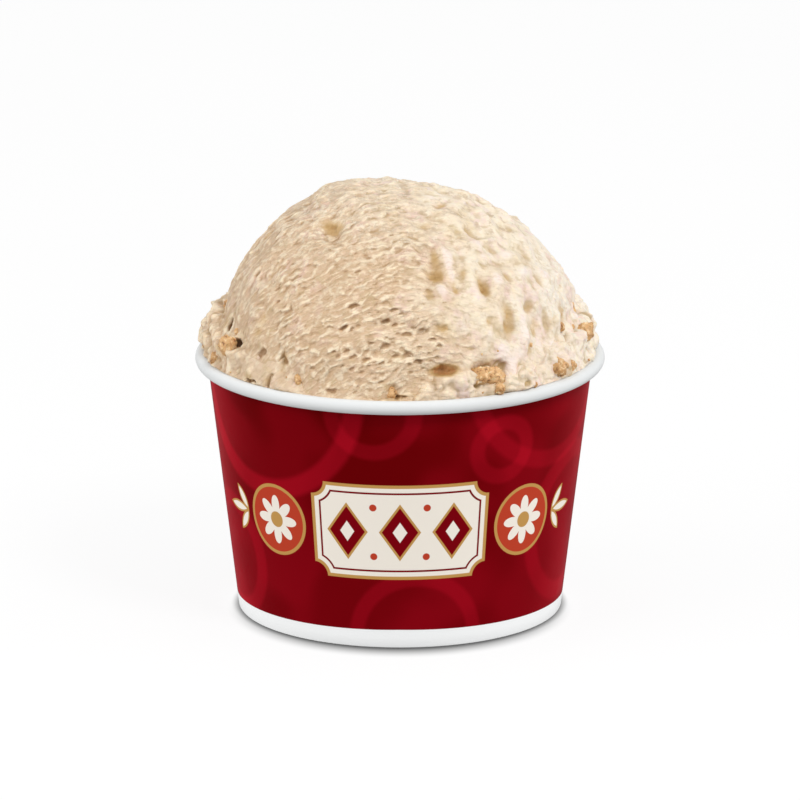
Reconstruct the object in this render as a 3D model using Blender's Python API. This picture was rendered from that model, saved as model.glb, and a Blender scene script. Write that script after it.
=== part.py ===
"""A paper cup with one large scoop of ice cream, full to the rim and domed above it.

Units are metres, +Z is up and the origin is the centre of the cup's foot.
The cup is two pieces of paper board. The tapered wall is curled outwards into
a rim at its top edge and folded in and up into a hem at its foot. The base is
a disc with a turned-down flange, which the hem grips. The ice cream fills the
cup, swells into a collar on the rim and rises as a dome. Toffee crumbs that
stand out of it are fused to it, so the food is one solid.
"""

import math
import random

import bmesh
import bpy
from mathutils import Euler, Vector, noise

MM = 0.001

# Driving sizes of the cup
CUP_HEIGHT = 61.0 * MM
RIM_RADIUS = 47.5 * MM
FOOT_RADIUS = 37.6 * MM
PAPER = 0.45 * MM
CURL_RADIUS = 1.6 * MM
CURL_END = math.radians(-112.5)
HEM_HEIGHT = 6.0 * MM
FOOT_CORNER = 0.3 * MM
BEND_RADIUS = 0.8 * MM
CLEARANCE = 0.3 * MM
CUP_SIDES = 64
CURL_STEPS_OUTSIDE = 13
CURL_STEPS_INSIDE = 9
SHARP_ANGLE = math.radians(35.0)

# Driving sizes of the ice cream
DOME_RADIUS = 44.6 * MM
DOME_CENTRE = Vector((-0.4 * MM, 0.0, 55.0 * MM))
SHOULDER_DIRECTION = Vector((-0.46, 0.14, 0.88)).normalized()
SHOULDER_RISE = 1.7 * MM
SHOULDER_WIDTH = math.radians(26.0)
CUT_ELEVATION = math.radians(3.0)
LIP_ELEVATION = math.radians(7.5)
COLLAR_ROUNDING = math.radians(4.5)
COLLAR_TOP = math.radians(15.5)
COLLAR_TOP_SWING = math.radians(4.0)
COLLAR_TOP_WANDER = math.radians(3.0)
COLLAR_SWELL = 1.5 * MM
COLLAR_SWELL_SWING = 0.2 * MM
COLLAR_EDGE = math.radians(2.6)
GROOVE_DEPTH = 0.8 * MM
GROOVE_WIDTH = math.radians(2.2)
LIP_TURN = math.radians(118.0)
LIP_TURN_SWING = math.radians(-10.0)
LIP_TURN_WANDER = math.radians(12.0)
WIDEST_RADIUS = RIM_RADIUS - 0.4 * MM

# Relief of the ice cream: height, then length of one wave
BROAD_RELIEF = (0.35 * MM, 24.0 * MM)
LUMP_RELIEF = (0.45 * MM, 7.5 * MM)
CREAM_RELIEF = (1.0 * MM, 9.0 * MM)
COLLAR_RELIEF = (0.7 * MM, 5.5 * MM)
CREAM_STEP = 0.7 * MM
CREAM_STEP_BAND = (0.5, 0.85)
BILLOW_LEVEL = 0.35
COLLAR_RAGGED_LENGTH = 13.0 * MM
LIP_RAGGED_SCALE = 4.0
NOISE_GAIN = 1.6

# Where the tan side turns into the pale one, along x of a direction from the dome's centre
CREAM_EDGE = (0.10, 0.30)
CREAM_EDGE_LEAN = 0.25
CREAM_EDGE_WANDER = 0.22
CREAM_EDGE_SCALE = 2.3

# Places in the noise, so that no two reliefs are alike
EDGE_PLACE = Vector((3.1, 0.4, 1.7))
RAGGED_PLACE = Vector((9.0, 1.0, 4.0))
BILLOW_PLACE = Vector((2.0, 8.0, 5.0))
LUMP_PLACE = 7.0
COLLAR_PLACE = 5.0

# Hollows in the surface, two broad ones and the torn ones: azimuth and elevation in degrees, then
# width, height and depth in mm
HOLLOWS = (
    (180.0, 26.0, 62.0, 30.0, 1.4), (0.0, 12.0, 40.0, 16.0, 0.8), (-150.0, 17.0, 4.0, 3.6, 2.2),
    (-75.5, 46.5, 4.0, 10.0, 1.7), (-68.0, 43.0, 3.4, 8.0, 1.2), (-55.5, 39.8, 3.4, 5.5, 1.3),
    (-75.8, 15.8, 5.2, 3.2, 1.3), (-61.0, 15.2, 6.5, 3.4, 1.2), (-94.8, 30.5, 6.5, 3.2, 1.2),
    (-84.2, 27.3, 6.0, 3.2, 1.3), (-98.5, 21.0, 8.0, 3.6, 1.1), (-50.8, 29.7, 3.6, 7.0, 1.2),
    (-37.5, 25.0, 3.6, 6.0, 1.0), (-20.5, 24.5, 4.4, 6.0, 1.4), (-128.0, 13.5, 4.2, 3.4, 1.2),
    (-132.0, 57.0, 6.0, 4.0, 0.9), (35.0, 26.0, 5.0, 7.0, 1.4), (96.0, 22.0, 7.0, 4.0, 1.5),
    (150.0, 24.0, 5.0, 4.0, 1.6), (60.0, 48.0, 4.0, 8.0, 1.1),
)

# Rings of the ice cream mesh: first and last elevation in degrees, step, points round
RING_BANDS = ((3.0, 9.0, 1.5, 112), (11.0, 51.0, 2.5, 112), (53.5, 71.0, 2.5, 56), (73.5, 86.0, 2.5, 28))

# Toffee crumbs that show in front: azimuth and elevation in degrees, length in mm
FRONT_CRUMBS = (
    (-154.7, 15.0, 5.5), (-161.0, 9.5, 3.4), (-64.5, 13.6, 5.0), (-61.0, 12.4, 5.6),
    (-60.0, 9.2, 3.4), (-11.7, 15.9, 5.6), (-23.5, 21.5, 3.8), (-35.4, 10.8, 5.4),
    (-30.0, 9.8, 3.4), (-2.0, 22.5, 4.0), (-40.5, 30.4, 2.8), (-132.0, 59.0, 4.2),
    (-92.0, 9.4, 3.4), (-121.5, 11.5, 2.8),
)
SPREAD_CRUMBS = 28
SPREAD_FRONT = (math.radians(-172.0), math.radians(16.0))
SPREAD_JITTER = 0.2
SPREAD_LOWEST = 10.0
SPREAD_RISE = 45.0
LOW_BIAS = 2.2
SMALL_BIAS = 1.5
CRUMB_SIZES = (2.8 * MM, 5.2 * MM)
CRUMB_SHAPE = Vector((0.5, 0.42, 0.36))
CRUMB_SINK = 0.2
CRUMB_ROUGHNESS = 0.18
CRUMB_NOISE_SCALE = 1.7
SMALL_CRUMB = 3.4 * MM
GOLDEN_ANGLE = math.pi * (3.0 - math.sqrt(5.0))

WALL_SLOPE = (RIM_RADIUS - 2.0 * CURL_RADIUS + PAPER - FOOT_RADIUS) / (CUP_HEIGHT - CURL_RADIUS)
CURL_CENTRE_R = RIM_RADIUS - CURL_RADIUS
CURL_CENTRE_Z = CUP_HEIGHT - CURL_RADIUS
BASE_UNDERSIDE = HEM_HEIGHT + CLEARANCE
BASE_TOP = BASE_UNDERSIDE + PAPER
FILL_BOTTOM = BASE_TOP + CLEARANCE


def clear_scene():
    for old in list(bpy.data.objects):
        bpy.data.objects.remove(old, do_unlink=True)


def material(name, colour, roughness, metallic=0.0):
    made = bpy.data.materials.new(name)
    made.use_nodes = True
    shader = made.node_tree.nodes["Principled BSDF"]
    shader.inputs["Base Color"].default_value = (*colour, 1.0)
    shader.inputs["Roughness"].default_value = roughness
    shader.inputs["Metallic"].default_value = metallic
    return made


def object_from(name, bm, finish):
    bmesh.ops.recalc_face_normals(bm, faces=bm.faces)
    mesh = bpy.data.meshes.new(name)
    bm.to_mesh(mesh)
    bm.free()
    mesh.materials.append(finish)
    made = bpy.data.objects.new(name, mesh)
    bpy.context.scene.collection.objects.link(made)
    return made


def smooth_step(low, high, value):
    t = min(1.0, max(0.0, (value - low) / (high - low)))
    return t * t * (3.0 - 2.0 * t)


# The cup's two profiles, as (radius, height)

def wall_outside(z):
    return FOOT_RADIUS + WALL_SLOPE * z


def wall_inside(z):
    return wall_outside(z) - PAPER


def arc(centre, radius, start, end, steps):
    for i in range(steps + 1):
        angle = start + (end - start) * i / steps
        yield centre[0] + radius * math.cos(angle), centre[1] + radius * math.sin(angle)


def wall_profile():
    """The wall's section: outer face, curl, inner face, then the hem, as a closed outline."""
    curl = (CURL_CENTRE_R, CURL_CENTRE_Z)
    hem_outside_gap = PAPER + 2.0 * CLEARANCE

    def hem_outer(z):
        return wall_inside(z) - hem_outside_gap

    def hem_inner(z):
        return hem_outer(z) - PAPER

    points = [(wall_outside(FOOT_CORNER), FOOT_CORNER)]
    points += arc(curl, CURL_RADIUS - PAPER, math.pi, CURL_END, CURL_STEPS_INSIDE)
    points += arc(curl, CURL_RADIUS, CURL_END, math.pi, CURL_STEPS_OUTSIDE)
    points += [(wall_inside(PAPER), PAPER), (hem_outer(PAPER), PAPER)]
    points += [(hem_outer(HEM_HEIGHT), HEM_HEIGHT), (hem_inner(HEM_HEIGHT), HEM_HEIGHT)]
    points += [(hem_inner(FOOT_CORNER), FOOT_CORNER)]
    points += [(hem_inner(0.0) + FOOT_CORNER, 0.0), (wall_outside(0.0) - FOOT_CORNER, 0.0)]
    return points


def base_profile():
    """Half the base's section, from its top at the axis round the flange to its underside at the axis."""
    flange_end = PAPER + CLEARANCE

    def outer(z):
        return wall_inside(z) - CLEARANCE

    bend = (outer(BASE_TOP) - BEND_RADIUS, BASE_TOP - BEND_RADIUS)
    points = [(0.0, BASE_TOP)]
    points += arc(bend, BEND_RADIUS, math.pi / 2.0, 0.0, 3)
    points += [(outer(flange_end), flange_end), (outer(flange_end) - PAPER, flange_end)]
    points += arc(bend, BEND_RADIUS - PAPER, 0.0, math.pi / 2.0, 2)
    points += [(0.0, BASE_UNDERSIDE)]
    return points


def turned(name, profile, closed, finish):
    """Spins a section round the cup's axis."""
    bm = bmesh.new()
    verts = [bm.verts.new((r, 0.0, z)) for r, z in profile]
    pairs = list(zip(verts, verts[1:])) + ([(verts[-1], verts[0])] if closed else [])
    edges = [bm.edges.new(pair) for pair in pairs]
    bmesh.ops.spin(
        bm, geom=verts + edges, cent=(0, 0, 0), axis=(0, 0, 1),
        angle=2.0 * math.pi, steps=CUP_SIDES, use_merge=True, use_duplicate=False,
    )
    bmesh.ops.remove_doubles(bm, verts=bm.verts, dist=0.01 * MM)
    made = object_from(name, bm, finish)
    made.data.shade_smooth()
    made.data.set_sharp_from_angle(angle=SHARP_ANGLE)
    return made


# The ice cream's form

def wave(point, relief, offset=0.0):
    """Noise of one wavelength and height, from minus to plus that height."""
    height, length = relief
    return height * NOISE_GAIN * noise.noise(point / length + Vector((offset, 2.0 * offset, -offset)))


def side_swing(azimuth):
    """1 at the left and right of the cup, -1 at its front and back."""
    return math.cos(2.0 * azimuth)


def cream_share(direction):
    """0 where the scoop is tan and scraped, 1 on the paler, lumpier side."""
    edge = direction.x + CREAM_EDGE_LEAN * direction.y * direction.z
    edge += CREAM_EDGE_WANDER * noise.noise(direction * CREAM_EDGE_SCALE + EDGE_PLACE)
    return smooth_step(*CREAM_EDGE, edge)


def collar_reach(azimuth, elevation, point):
    """How far the collar stands out of the dome, with the groove that parts them."""
    swing = side_swing(azimuth)
    ragged = noise.noise(point / COLLAR_RAGGED_LENGTH + RAGGED_PLACE)
    top = COLLAR_TOP + COLLAR_TOP_SWING * swing + 2.0 * COLLAR_TOP_WANDER * ragged
    share = 1.0 - smooth_step(top - COLLAR_EDGE, top + COLLAR_EDGE, elevation)
    swell = (COLLAR_SWELL + COLLAR_SWELL_SWING * swing) * share
    swell += wave(point, COLLAR_RELIEF, COLLAR_PLACE) * share
    groove = GROOVE_DEPTH * math.exp(-(((elevation - top - COLLAR_EDGE) / GROOVE_WIDTH) ** 2))
    return swell - groove * (0.6 + 0.8 * ragged)


def angle_between(first, second):
    """Signed difference of two azimuths, between minus and plus half a turn."""
    return (first - second + math.pi) % (2.0 * math.pi) - math.pi


def hollow_depth(azimuth, elevation):
    """How deep the torn hollows reach here."""
    depth = 0.0
    for where, height, width, tall, deepest in HOLLOWS:
        across = angle_between(azimuth, math.radians(where)) * math.cos(elevation) * DOME_RADIUS
        up = (elevation - math.radians(height)) * DOME_RADIUS
        off = (2.0 * across / (width * MM)) ** 2 + (2.0 * up / (tall * MM)) ** 2
        depth += deepest * MM * math.exp(-off)
    return depth


def dome_reach(direction, azimuth, elevation):
    """Distance of the ice cream's surface from the dome's centre, above the lip."""
    point = direction * DOME_RADIUS
    cream = cream_share(direction)
    off_shoulder = math.acos(max(-1.0, min(1.0, direction.dot(SHOULDER_DIRECTION))))
    reach = DOME_RADIUS + SHOULDER_RISE * math.exp(-((off_shoulder / SHOULDER_WIDTH) ** 2))
    reach += wave(point, BROAD_RELIEF) + wave(point, LUMP_RELIEF, LUMP_PLACE)
    reach -= hollow_depth(azimuth, elevation)
    height, length = CREAM_RELIEF
    billow = BILLOW_LEVEL - abs(noise.noise(point / length + BILLOW_PLACE))
    reach += cream * 2.0 * height * billow
    reach -= cream * CREAM_STEP * smooth_step(*CREAM_STEP_BAND, direction.z)
    return reach + collar_reach(azimuth, elevation, point)


def lip_point(azimuth, turn):
    """A point on the ice cream where it lies on the curled rim, as that turn round the curl."""
    radius = CURL_RADIUS + CLEARANCE
    r = CURL_CENTRE_R + radius * math.cos(turn)
    z = CURL_CENTRE_Z + radius * math.sin(turn)
    return Vector((r * math.cos(azimuth), r * math.sin(azimuth), z))


def ice_cream_point(azimuth, elevation):
    """The surface point that this azimuth and elevation about the dome's centre stand for.

    Below the lip the surface follows the wall and the curl, a clearance away.
    """
    direction = Vector((
        math.cos(azimuth) * math.cos(elevation),
        math.sin(azimuth) * math.cos(elevation),
        math.sin(elevation),
    ))
    ragged = noise.noise(Vector((math.cos(azimuth), math.sin(azimuth), 0.3)) * LIP_RAGGED_SCALE)
    lip_turn = LIP_TURN + LIP_TURN_SWING * side_swing(azimuth) + 2.0 * LIP_TURN_WANDER * ragged
    if elevation <= LIP_ELEVATION:
        share = (elevation - CUT_ELEVATION) / (LIP_ELEVATION - CUT_ELEVATION)
        return lip_point(azimuth, math.pi + (lip_turn - math.pi) * max(0.0, share))
    lip = lip_point(azimuth, lip_turn)
    lip_reach = (lip - DOME_CENTRE).length
    reach = dome_reach(direction, azimuth, elevation)
    t = min(1.0, (elevation - LIP_ELEVATION) / COLLAR_ROUNDING)
    round_over = math.sqrt(1.0 - (1.0 - t) ** 2)
    reach = lip_reach + (reach - lip_reach) * round_over
    lip_direction = (lip - DOME_CENTRE).normalized()
    return within_rim(DOME_CENTRE + reach * lip_direction.lerp(direction, t).normalized())


def within_rim(point):
    """Draws a point in towards the axis if it would pass the widest radius."""
    radius = math.hypot(point.x, point.y)
    if radius <= WIDEST_RADIUS:
        return point
    return Vector((point.x * WIDEST_RADIUS / radius, point.y * WIDEST_RADIUS / radius, point.z))


def ring(bm, elevation, count):
    angles = (2.0 * math.pi * i / count for i in range(count))
    return [bm.verts.new(ice_cream_point(a, elevation)) for a in angles]


def level_ring(bm, z, count):
    r = wall_inside(z) - CLEARANCE
    angles = (2.0 * math.pi * i / count for i in range(count))
    return [bm.verts.new((r * math.cos(a), r * math.sin(a), z)) for a in angles]


def stitch(bm, lower, upper):
    """Faces between two rings that have the same count, or where the upper has half as many points."""
    count = len(upper)
    step = len(lower) // count
    for i in range(count):
        j, after = i * step, (i + 1) % count
        if step == 1:
            bm.faces.new((lower[j], lower[after], upper[after], upper[i]))
            continue
        middle, end = lower[j + 1], lower[(j + 2) % len(lower)]
        bm.faces.new((lower[j], middle, upper[i]))
        bm.faces.new((middle, upper[after], upper[i]))
        bm.faces.new((middle, end, upper[after]))


def ring_elevations():
    for first, last, step, count in RING_BANDS:
        for i in range(round((last - first) / step) + 1):
            yield math.radians(first + i * step), count


def ice_cream(finish):
    bm = bmesh.new()
    around = RING_BANDS[0][3]
    rings = [level_ring(bm, FILL_BOTTOM, around), level_ring(bm, CUP_HEIGHT / 2.0, around)]
    rings += [ring(bm, elevation, count) for elevation, count in ring_elevations()]
    for lower, upper in zip(rings, rings[1:]):
        stitch(bm, lower, upper)
    bm.faces.new(reversed(rings[0]))
    top = bm.verts.new(ice_cream_point(0.0, math.pi / 2.0))
    last = rings[-1]
    for i, vert in enumerate(last):
        bm.faces.new((vert, last[(i + 1) % len(last)], top))
    return object_from("ice_cream", bm, finish)


# Toffee crumbs

def crumb_places():
    """(azimuth, elevation, length) of each crumb: those in front, then a spread round the rest."""
    places = [(math.radians(a), math.radians(e), length * MM) for a, e, length in FRONT_CRUMBS]
    draw = random.Random(11)
    for i in range(SPREAD_CRUMBS):
        turned_to = i * GOLDEN_ANGLE + draw.uniform(-SPREAD_JITTER, SPREAD_JITTER)
        azimuth = turned_to % (2.0 * math.pi) - math.pi
        share = draw.random()
        elevation = math.radians(SPREAD_LOWEST + SPREAD_RISE * share ** LOW_BIAS)
        length = CRUMB_SIZES[0] + (CRUMB_SIZES[1] - CRUMB_SIZES[0]) * draw.random() ** SMALL_BIAS
        if not SPREAD_FRONT[0] < azimuth < SPREAD_FRONT[1]:
            places.append((azimuth, elevation, length))
    return places


def crumb(index, azimuth, elevation, length):
    """One broken crumb, turned at random and sunk a little below the surface."""
    draw = random.Random(100 + index)
    turn = [draw.uniform(0.0, 2.0 * math.pi) for _ in range(3)]
    lowest = CUP_HEIGHT + CLEARANCE + 0.5 * length
    centre = ice_cream_point(azimuth, elevation)
    while centre.z < lowest:
        elevation += math.radians(0.5)
        centre = ice_cream_point(azimuth, elevation)
    centre -= (centre - DOME_CENTRE).normalized() * CRUMB_SINK * length
    beyond = math.hypot(centre.x, centre.y) + CRUMB_SHAPE.x * length - WIDEST_RADIUS
    if beyond > 0.0:
        centre -= Vector((math.cos(azimuth), math.sin(azimuth), 0.0)) * beyond
    bm = bmesh.new()
    bmesh.ops.create_icosphere(bm, subdivisions=1 if length < SMALL_CRUMB else 2, radius=1.0)
    for vert in bm.verts:
        rough = 1.0 + CRUMB_ROUGHNESS * 2.0 * noise.noise(vert.co * CRUMB_NOISE_SCALE + Vector((index, 0, 0)))
        vert.co = vert.co * CRUMB_SHAPE * rough * length
    bmesh.ops.rotate(bm, verts=bm.verts, matrix=Euler(turn).to_matrix(), cent=(0, 0, 0))
    bmesh.ops.translate(bm, verts=bm.verts, vec=centre)
    return bm


def fuse_crumbs(food, finish):
    """One union of the ice cream with every crumb."""
    crumbs = bpy.data.collections.new("crumbs")
    bpy.context.scene.collection.children.link(crumbs)
    for index, place in enumerate(crumb_places()):
        made = object_from(f"crumb_{index}", crumb(index, *place), finish)
        bpy.context.scene.collection.objects.unlink(made)
        crumbs.objects.link(made)
    union = food.modifiers.new("crumbs", "BOOLEAN")
    union.operation = "UNION"
    union.operand_type = "COLLECTION"
    union.collection = crumbs
    union.solver = "EXACT"
    graph = bpy.context.evaluated_depsgraph_get()
    fused = bpy.data.meshes.new_from_object(food.evaluated_get(graph))
    food.modifiers.clear()
    food.data = fused
    for made in list(crumbs.objects):
        bpy.data.objects.remove(made, do_unlink=True)
    bpy.data.collections.remove(crumbs)


def main():
    clear_scene()
    paper = material("printed_paper", (0.42, 0.02, 0.03), 0.4)
    white = material("white_paper", (0.85, 0.85, 0.84), 0.5)
    cream = material("ice_cream", (0.76, 0.60, 0.42), 0.55)
    turned("cup_wall", wall_profile(), True, paper)
    turned("cup_base", base_profile(), False, white)
    food = ice_cream(cream)
    fuse_crumbs(food, cream)
    food.data.shade_smooth()


main()
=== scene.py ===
# %% [markdown]
# # A paper cup of ice cream
# The object is a tapered paper cup, printed deep red, with a large scoop of ice
# cream that fills it and rises above it as a dome. The solid model already gives
# the true sizes, so the lesson starts by loading it as a frame. Each piece made
# here then stands in for one of its solids, in the same place, with a finer
# surface and its real finish.

# %% Load the solid model
import math
import random

import bmesh
import bpy
import numpy as np
from mathutils import Euler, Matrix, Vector, noise
from mathutils.bvhtree import BVHTree


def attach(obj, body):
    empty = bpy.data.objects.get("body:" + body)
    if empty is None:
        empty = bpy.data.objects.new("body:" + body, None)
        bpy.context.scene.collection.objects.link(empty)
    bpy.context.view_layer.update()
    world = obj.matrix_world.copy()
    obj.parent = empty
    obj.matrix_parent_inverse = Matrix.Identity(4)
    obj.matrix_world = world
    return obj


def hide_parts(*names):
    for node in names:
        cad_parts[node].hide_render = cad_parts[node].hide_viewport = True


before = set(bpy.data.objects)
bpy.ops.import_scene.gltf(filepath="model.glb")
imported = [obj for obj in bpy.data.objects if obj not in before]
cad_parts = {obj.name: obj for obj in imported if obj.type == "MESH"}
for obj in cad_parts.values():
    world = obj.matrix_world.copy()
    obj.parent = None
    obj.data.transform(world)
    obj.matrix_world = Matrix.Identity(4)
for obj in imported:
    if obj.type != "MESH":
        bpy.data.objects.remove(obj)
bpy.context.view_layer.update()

MM = 0.001

# %% [markdown]
# ## The camera
# A product picture of a cup is taken with a long lens from a little above, so
# that the rim and the foot read as narrow ellipses of nearly the same shape. A
# camera 2 m away does this, raised by 15 degrees and aimed at a point on the
# cup's axis.

# %% Camera
VIEW_ELEVATION = math.radians(15.3)
VIEW_DISTANCE = 2.0
AIM_HEIGHT = 0.04876
LENS_PIXELS = 8606.0
PICTURE_PIXELS = 800.0
SENSOR_MM = 36.0


def placed(name, data):
    """An object with that data, in the scene."""
    made = bpy.data.objects.new(name, data)
    bpy.context.scene.collection.objects.link(made)
    return made


camera_data = bpy.data.cameras.new("camera")
camera_data.sensor_width = SENSOR_MM
camera_data.lens = LENS_PIXELS * SENSOR_MM / PICTURE_PIXELS
camera = placed("camera", camera_data)
camera.location = (
    0.0,
    -VIEW_DISTANCE * math.cos(VIEW_ELEVATION),
    AIM_HEIGHT + VIEW_DISTANCE * math.sin(VIEW_ELEVATION),
)
camera.rotation_euler = (math.pi / 2.0 - VIEW_ELEVATION, 0.0, 0.0)
bpy.context.scene.camera = camera
print("lens", round(camera_data.lens, 1), "mm")

# %% [markdown]
# ## Shader arithmetic
# A printed pattern can be an image, or it can be worked out from the surface's
# own coordinates. The second way stays sharp at any distance. Writing such a
# pattern node by node is slow, so a small class lets a node's output take part
# in ordinary sums.

# %% A number that varies over a surface
MIX_SHARE, MIX_FIRST, MIX_SECOND, MIX_COLOUR = 0, 6, 7, 2


class Field:
    """One output of a shader node. Sums with it add Math nodes to its tree."""

    def __init__(self, tree, socket):
        self.tree = tree
        self.socket = socket

    def math(self, operation, *others, clamp=False):
        inputs = dict(enumerate((self, *others)))
        return node_field(self.tree, "Math", inputs, operation=operation, use_clamp=clamp)

    def __add__(self, other):
        return self.math("ADD", other)

    def __sub__(self, other):
        return self.math("SUBTRACT", other)

    def __mul__(self, other):
        return self.math("MULTIPLY", other)

    def __truediv__(self, other):
        return self.math("DIVIDE", other)

    def __abs__(self):
        return self.math("ABSOLUTE")

    def most(self, other):
        return self.math("MAXIMUM", other)

    def clamped(self):
        """Kept between 0 and 1."""
        return self.math("ADD", 0.0, clamp=True)

    def wrapped(self, width):
        """What is left of it past each whole width."""
        return self.math("WRAP", width, 0.0)

    def length_with(self, other):
        return (self * self + other * other).math("SQRT")

    def step(self, low, high):
        """Smoothly from 0 at low to 1 at high."""
        inputs = {"Value": self, "From Min": low, "From Max": high}
        return node_field(self.tree, "MapRange", inputs, "Result", interpolation_type="SMOOTHSTEP")


def plug(tree, slot, value):
    """Joins a field to a socket, or sets the socket to a plain value."""
    if isinstance(value, Field):
        tree.links.new(value.socket, slot)
    else:
        slot.default_value = value


def node_field(tree, kind, inputs, output=0, **settings):
    """Adds a node with these settings and inputs, and gives one of its outputs."""
    node = tree.nodes.new("ShaderNode" + kind)
    for name, value in settings.items():
        setattr(node, name, value)
    for slot, value in inputs.items():
        plug(tree, node.inputs[slot], value)
    return Field(tree, node.outputs[output])


def mixed(tree, share, first, second):
    """A colour between two: first where share is 0, second where it is 1."""
    first, second = (c if isinstance(c, Field) else (*c, 1.0) for c in (first, second))
    inputs = {MIX_SHARE: share, MIX_FIRST: first, MIX_SECOND: second}
    return node_field(tree, "Mix", inputs, MIX_COLOUR, data_type="RGBA")


def layered(tree, base, layers):
    """Lays colours over a base in turn. Each layer is (share, colour)."""
    for share, colour in layers:
        base = mixed(tree, share, base, colour)
    return base


def split(vector):
    """A vector's three parts as fields."""
    node = vector.tree.nodes.new("ShaderNodeSeparateXYZ")
    plug(vector.tree, node.inputs[0], vector)
    return [Field(vector.tree, part) for part in node.outputs]


def noise_field(tree, place, size, detail=2.0, roughness=0.5, stretch=None):
    """Cloudy noise from 0 to 1 with lumps of about that size in mm."""
    if stretch:
        place = node_field(tree, "Mapping", {"Vector": place, "Scale": stretch})
    inputs = {"Vector": place, "Scale": 1.0 / size, "Detail": detail, "Roughness": roughness}
    return node_field(tree, "TexNoise", inputs, "Fac")


def place_in_mm(tree):
    """The surface's own coordinates in millimetres, as one vector and as x, y and z."""
    own = node_field(tree, "TexCoord", {}, "Object")
    place = node_field(tree, "VectorMath", {0: own, "Scale": 1.0 / MM}, operation="SCALE")
    return place, *split(place)


def bump(tree, height, depth_mm):
    """A normal for a surface that is higher by that many millimetres where the field is 1."""
    inputs = {"Strength": 1.0, "Distance": depth_mm * MM, "Height": height}
    return node_field(tree, "Bump", inputs)


def new_finish(name):
    """A material, its node tree and the place of its surface in mm."""
    made = bpy.data.materials.new(name)
    made.use_nodes = True
    return made, made.node_tree, *place_in_mm(made.node_tree)


def finished(made, sockets):
    """Sets or joins the sockets of the material's Principled shader by name."""
    for name, value in sockets.items():
        plug(made.node_tree, made.node_tree.nodes["Principled BSDF"].inputs[name], value)
    return made


def srgb(red, green, blue):
    """A colour as a screen shows it, from 0 to 255, in the shader's linear values."""
    def linear(part):
        part /= 255.0
        return part / 12.92 if part <= 0.04045 else ((part + 0.055) / 1.055) ** 2.4
    return linear(red), linear(green), linear(blue)


print("screen red (140, 8, 18) is", [round(c, 3) for c in srgb(140, 8, 18)])

# %% [markdown]
# ## The cup's sizes
# A paper cup is two blanks of coated board. The side blank is rolled into a
# cone, its top edge is curled outwards into a tube and its foot is folded in
# and up to grip the flange of a disc. A section through it is one line of
# constant thickness, so a turned profile gives the whole form. These are the
# same sizes as the solid model's, in millimetres.

# %% Cup sizes
CUP_HEIGHT = 61.0
RIM_RADIUS = 47.5
FOOT_RADIUS = 37.6
PAPER = 0.45
CURL_RADIUS = 1.6
CURL_END = math.radians(-112.5)
HEM_HEIGHT = 6.0
FOOT_CORNER = 0.3
BEND_RADIUS = 0.8
CLEARANCE = 0.3
CURL_CENTRE = (RIM_RADIUS - CURL_RADIUS, CUP_HEIGHT - CURL_RADIUS)
WALL_SLOPE = (RIM_RADIUS - 2.0 * CURL_RADIUS + PAPER - FOOT_RADIUS) / CURL_CENTRE[1]


def wall_outside(z):
    return FOOT_RADIUS + WALL_SLOPE * z


def wall_inside(z):
    return wall_outside(z) - PAPER


print("wall leans", round(math.degrees(math.atan(WALL_SLOPE)), 1), "degrees")

# %% [markdown]
# ## Turning a profile
# The Screw modifier or bmesh's spin can turn a profile, with equal steps all
# the way round. The wall also needs a few close columns where its side seam
# laps, so the grid of points is worked out here from a list of angles.

# %% Profiles and a lathe
def arc(centre, radius, start, end, steps):
    """Points on part of a circle, both ends included."""
    for i in range(steps + 1):
        angle = start + (end - start) * i / steps
        yield centre[0] + radius * math.cos(angle), centre[1] + radius * math.sin(angle)


def line(start, end, steps):
    """Points from start towards end, without the end."""
    for i in range(steps):
        share = i / steps
        yield start[0] + (end[0] - start[0]) * share, start[1] + (end[1] - start[1]) * share


def full_turn(steps):
    return [2.0 * math.pi * i / steps for i in range(steps)]


def ring_faces(columns, rows):
    """Faces between columns round the axis, each a closed loop of that many points."""
    faces = []
    for j in range(columns):
        here, after = j * rows, ((j + 1) % columns) * rows
        for i in range(rows):
            k = (i + 1) % rows
            faces.append((here + i, after + i, after + k, here + k))
    return faces


def turned(profile, angles, lift=None):
    """Points and faces of a closed profile turned through the angles. lift may move a point out."""
    points = []
    for angle in angles:
        for r, z in profile:
            out = r + (lift(angle, r, z) if lift else 0.0)
            points.append((out * math.cos(angle), out * math.sin(angle), z))
    return points, ring_faces(len(angles), len(profile))


def mesh_piece(name, points_mm, faces, finish, node):
    """A mesh piece from points in mm, riding on the object in place of a solid."""
    mesh = bpy.data.meshes.new(name)
    points = np.asarray(points_mm, dtype=np.float64) * MM
    mesh.from_pydata(points.tolist(), [], faces)
    mesh.materials.append(finish)
    mesh.validate()
    made = placed(name, mesh)
    mesh.shade_smooth()
    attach(made, "root")
    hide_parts(node)
    triangles = sum(len(polygon.vertices) - 2 for polygon in mesh.polygons)
    print(name, "has", triangles, "triangles")
    return made


print("a quarter arc:", [tuple(round(v, 2) for v in p) for p in arc((0, 0), 1, 0, math.pi / 2, 2)])
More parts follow.
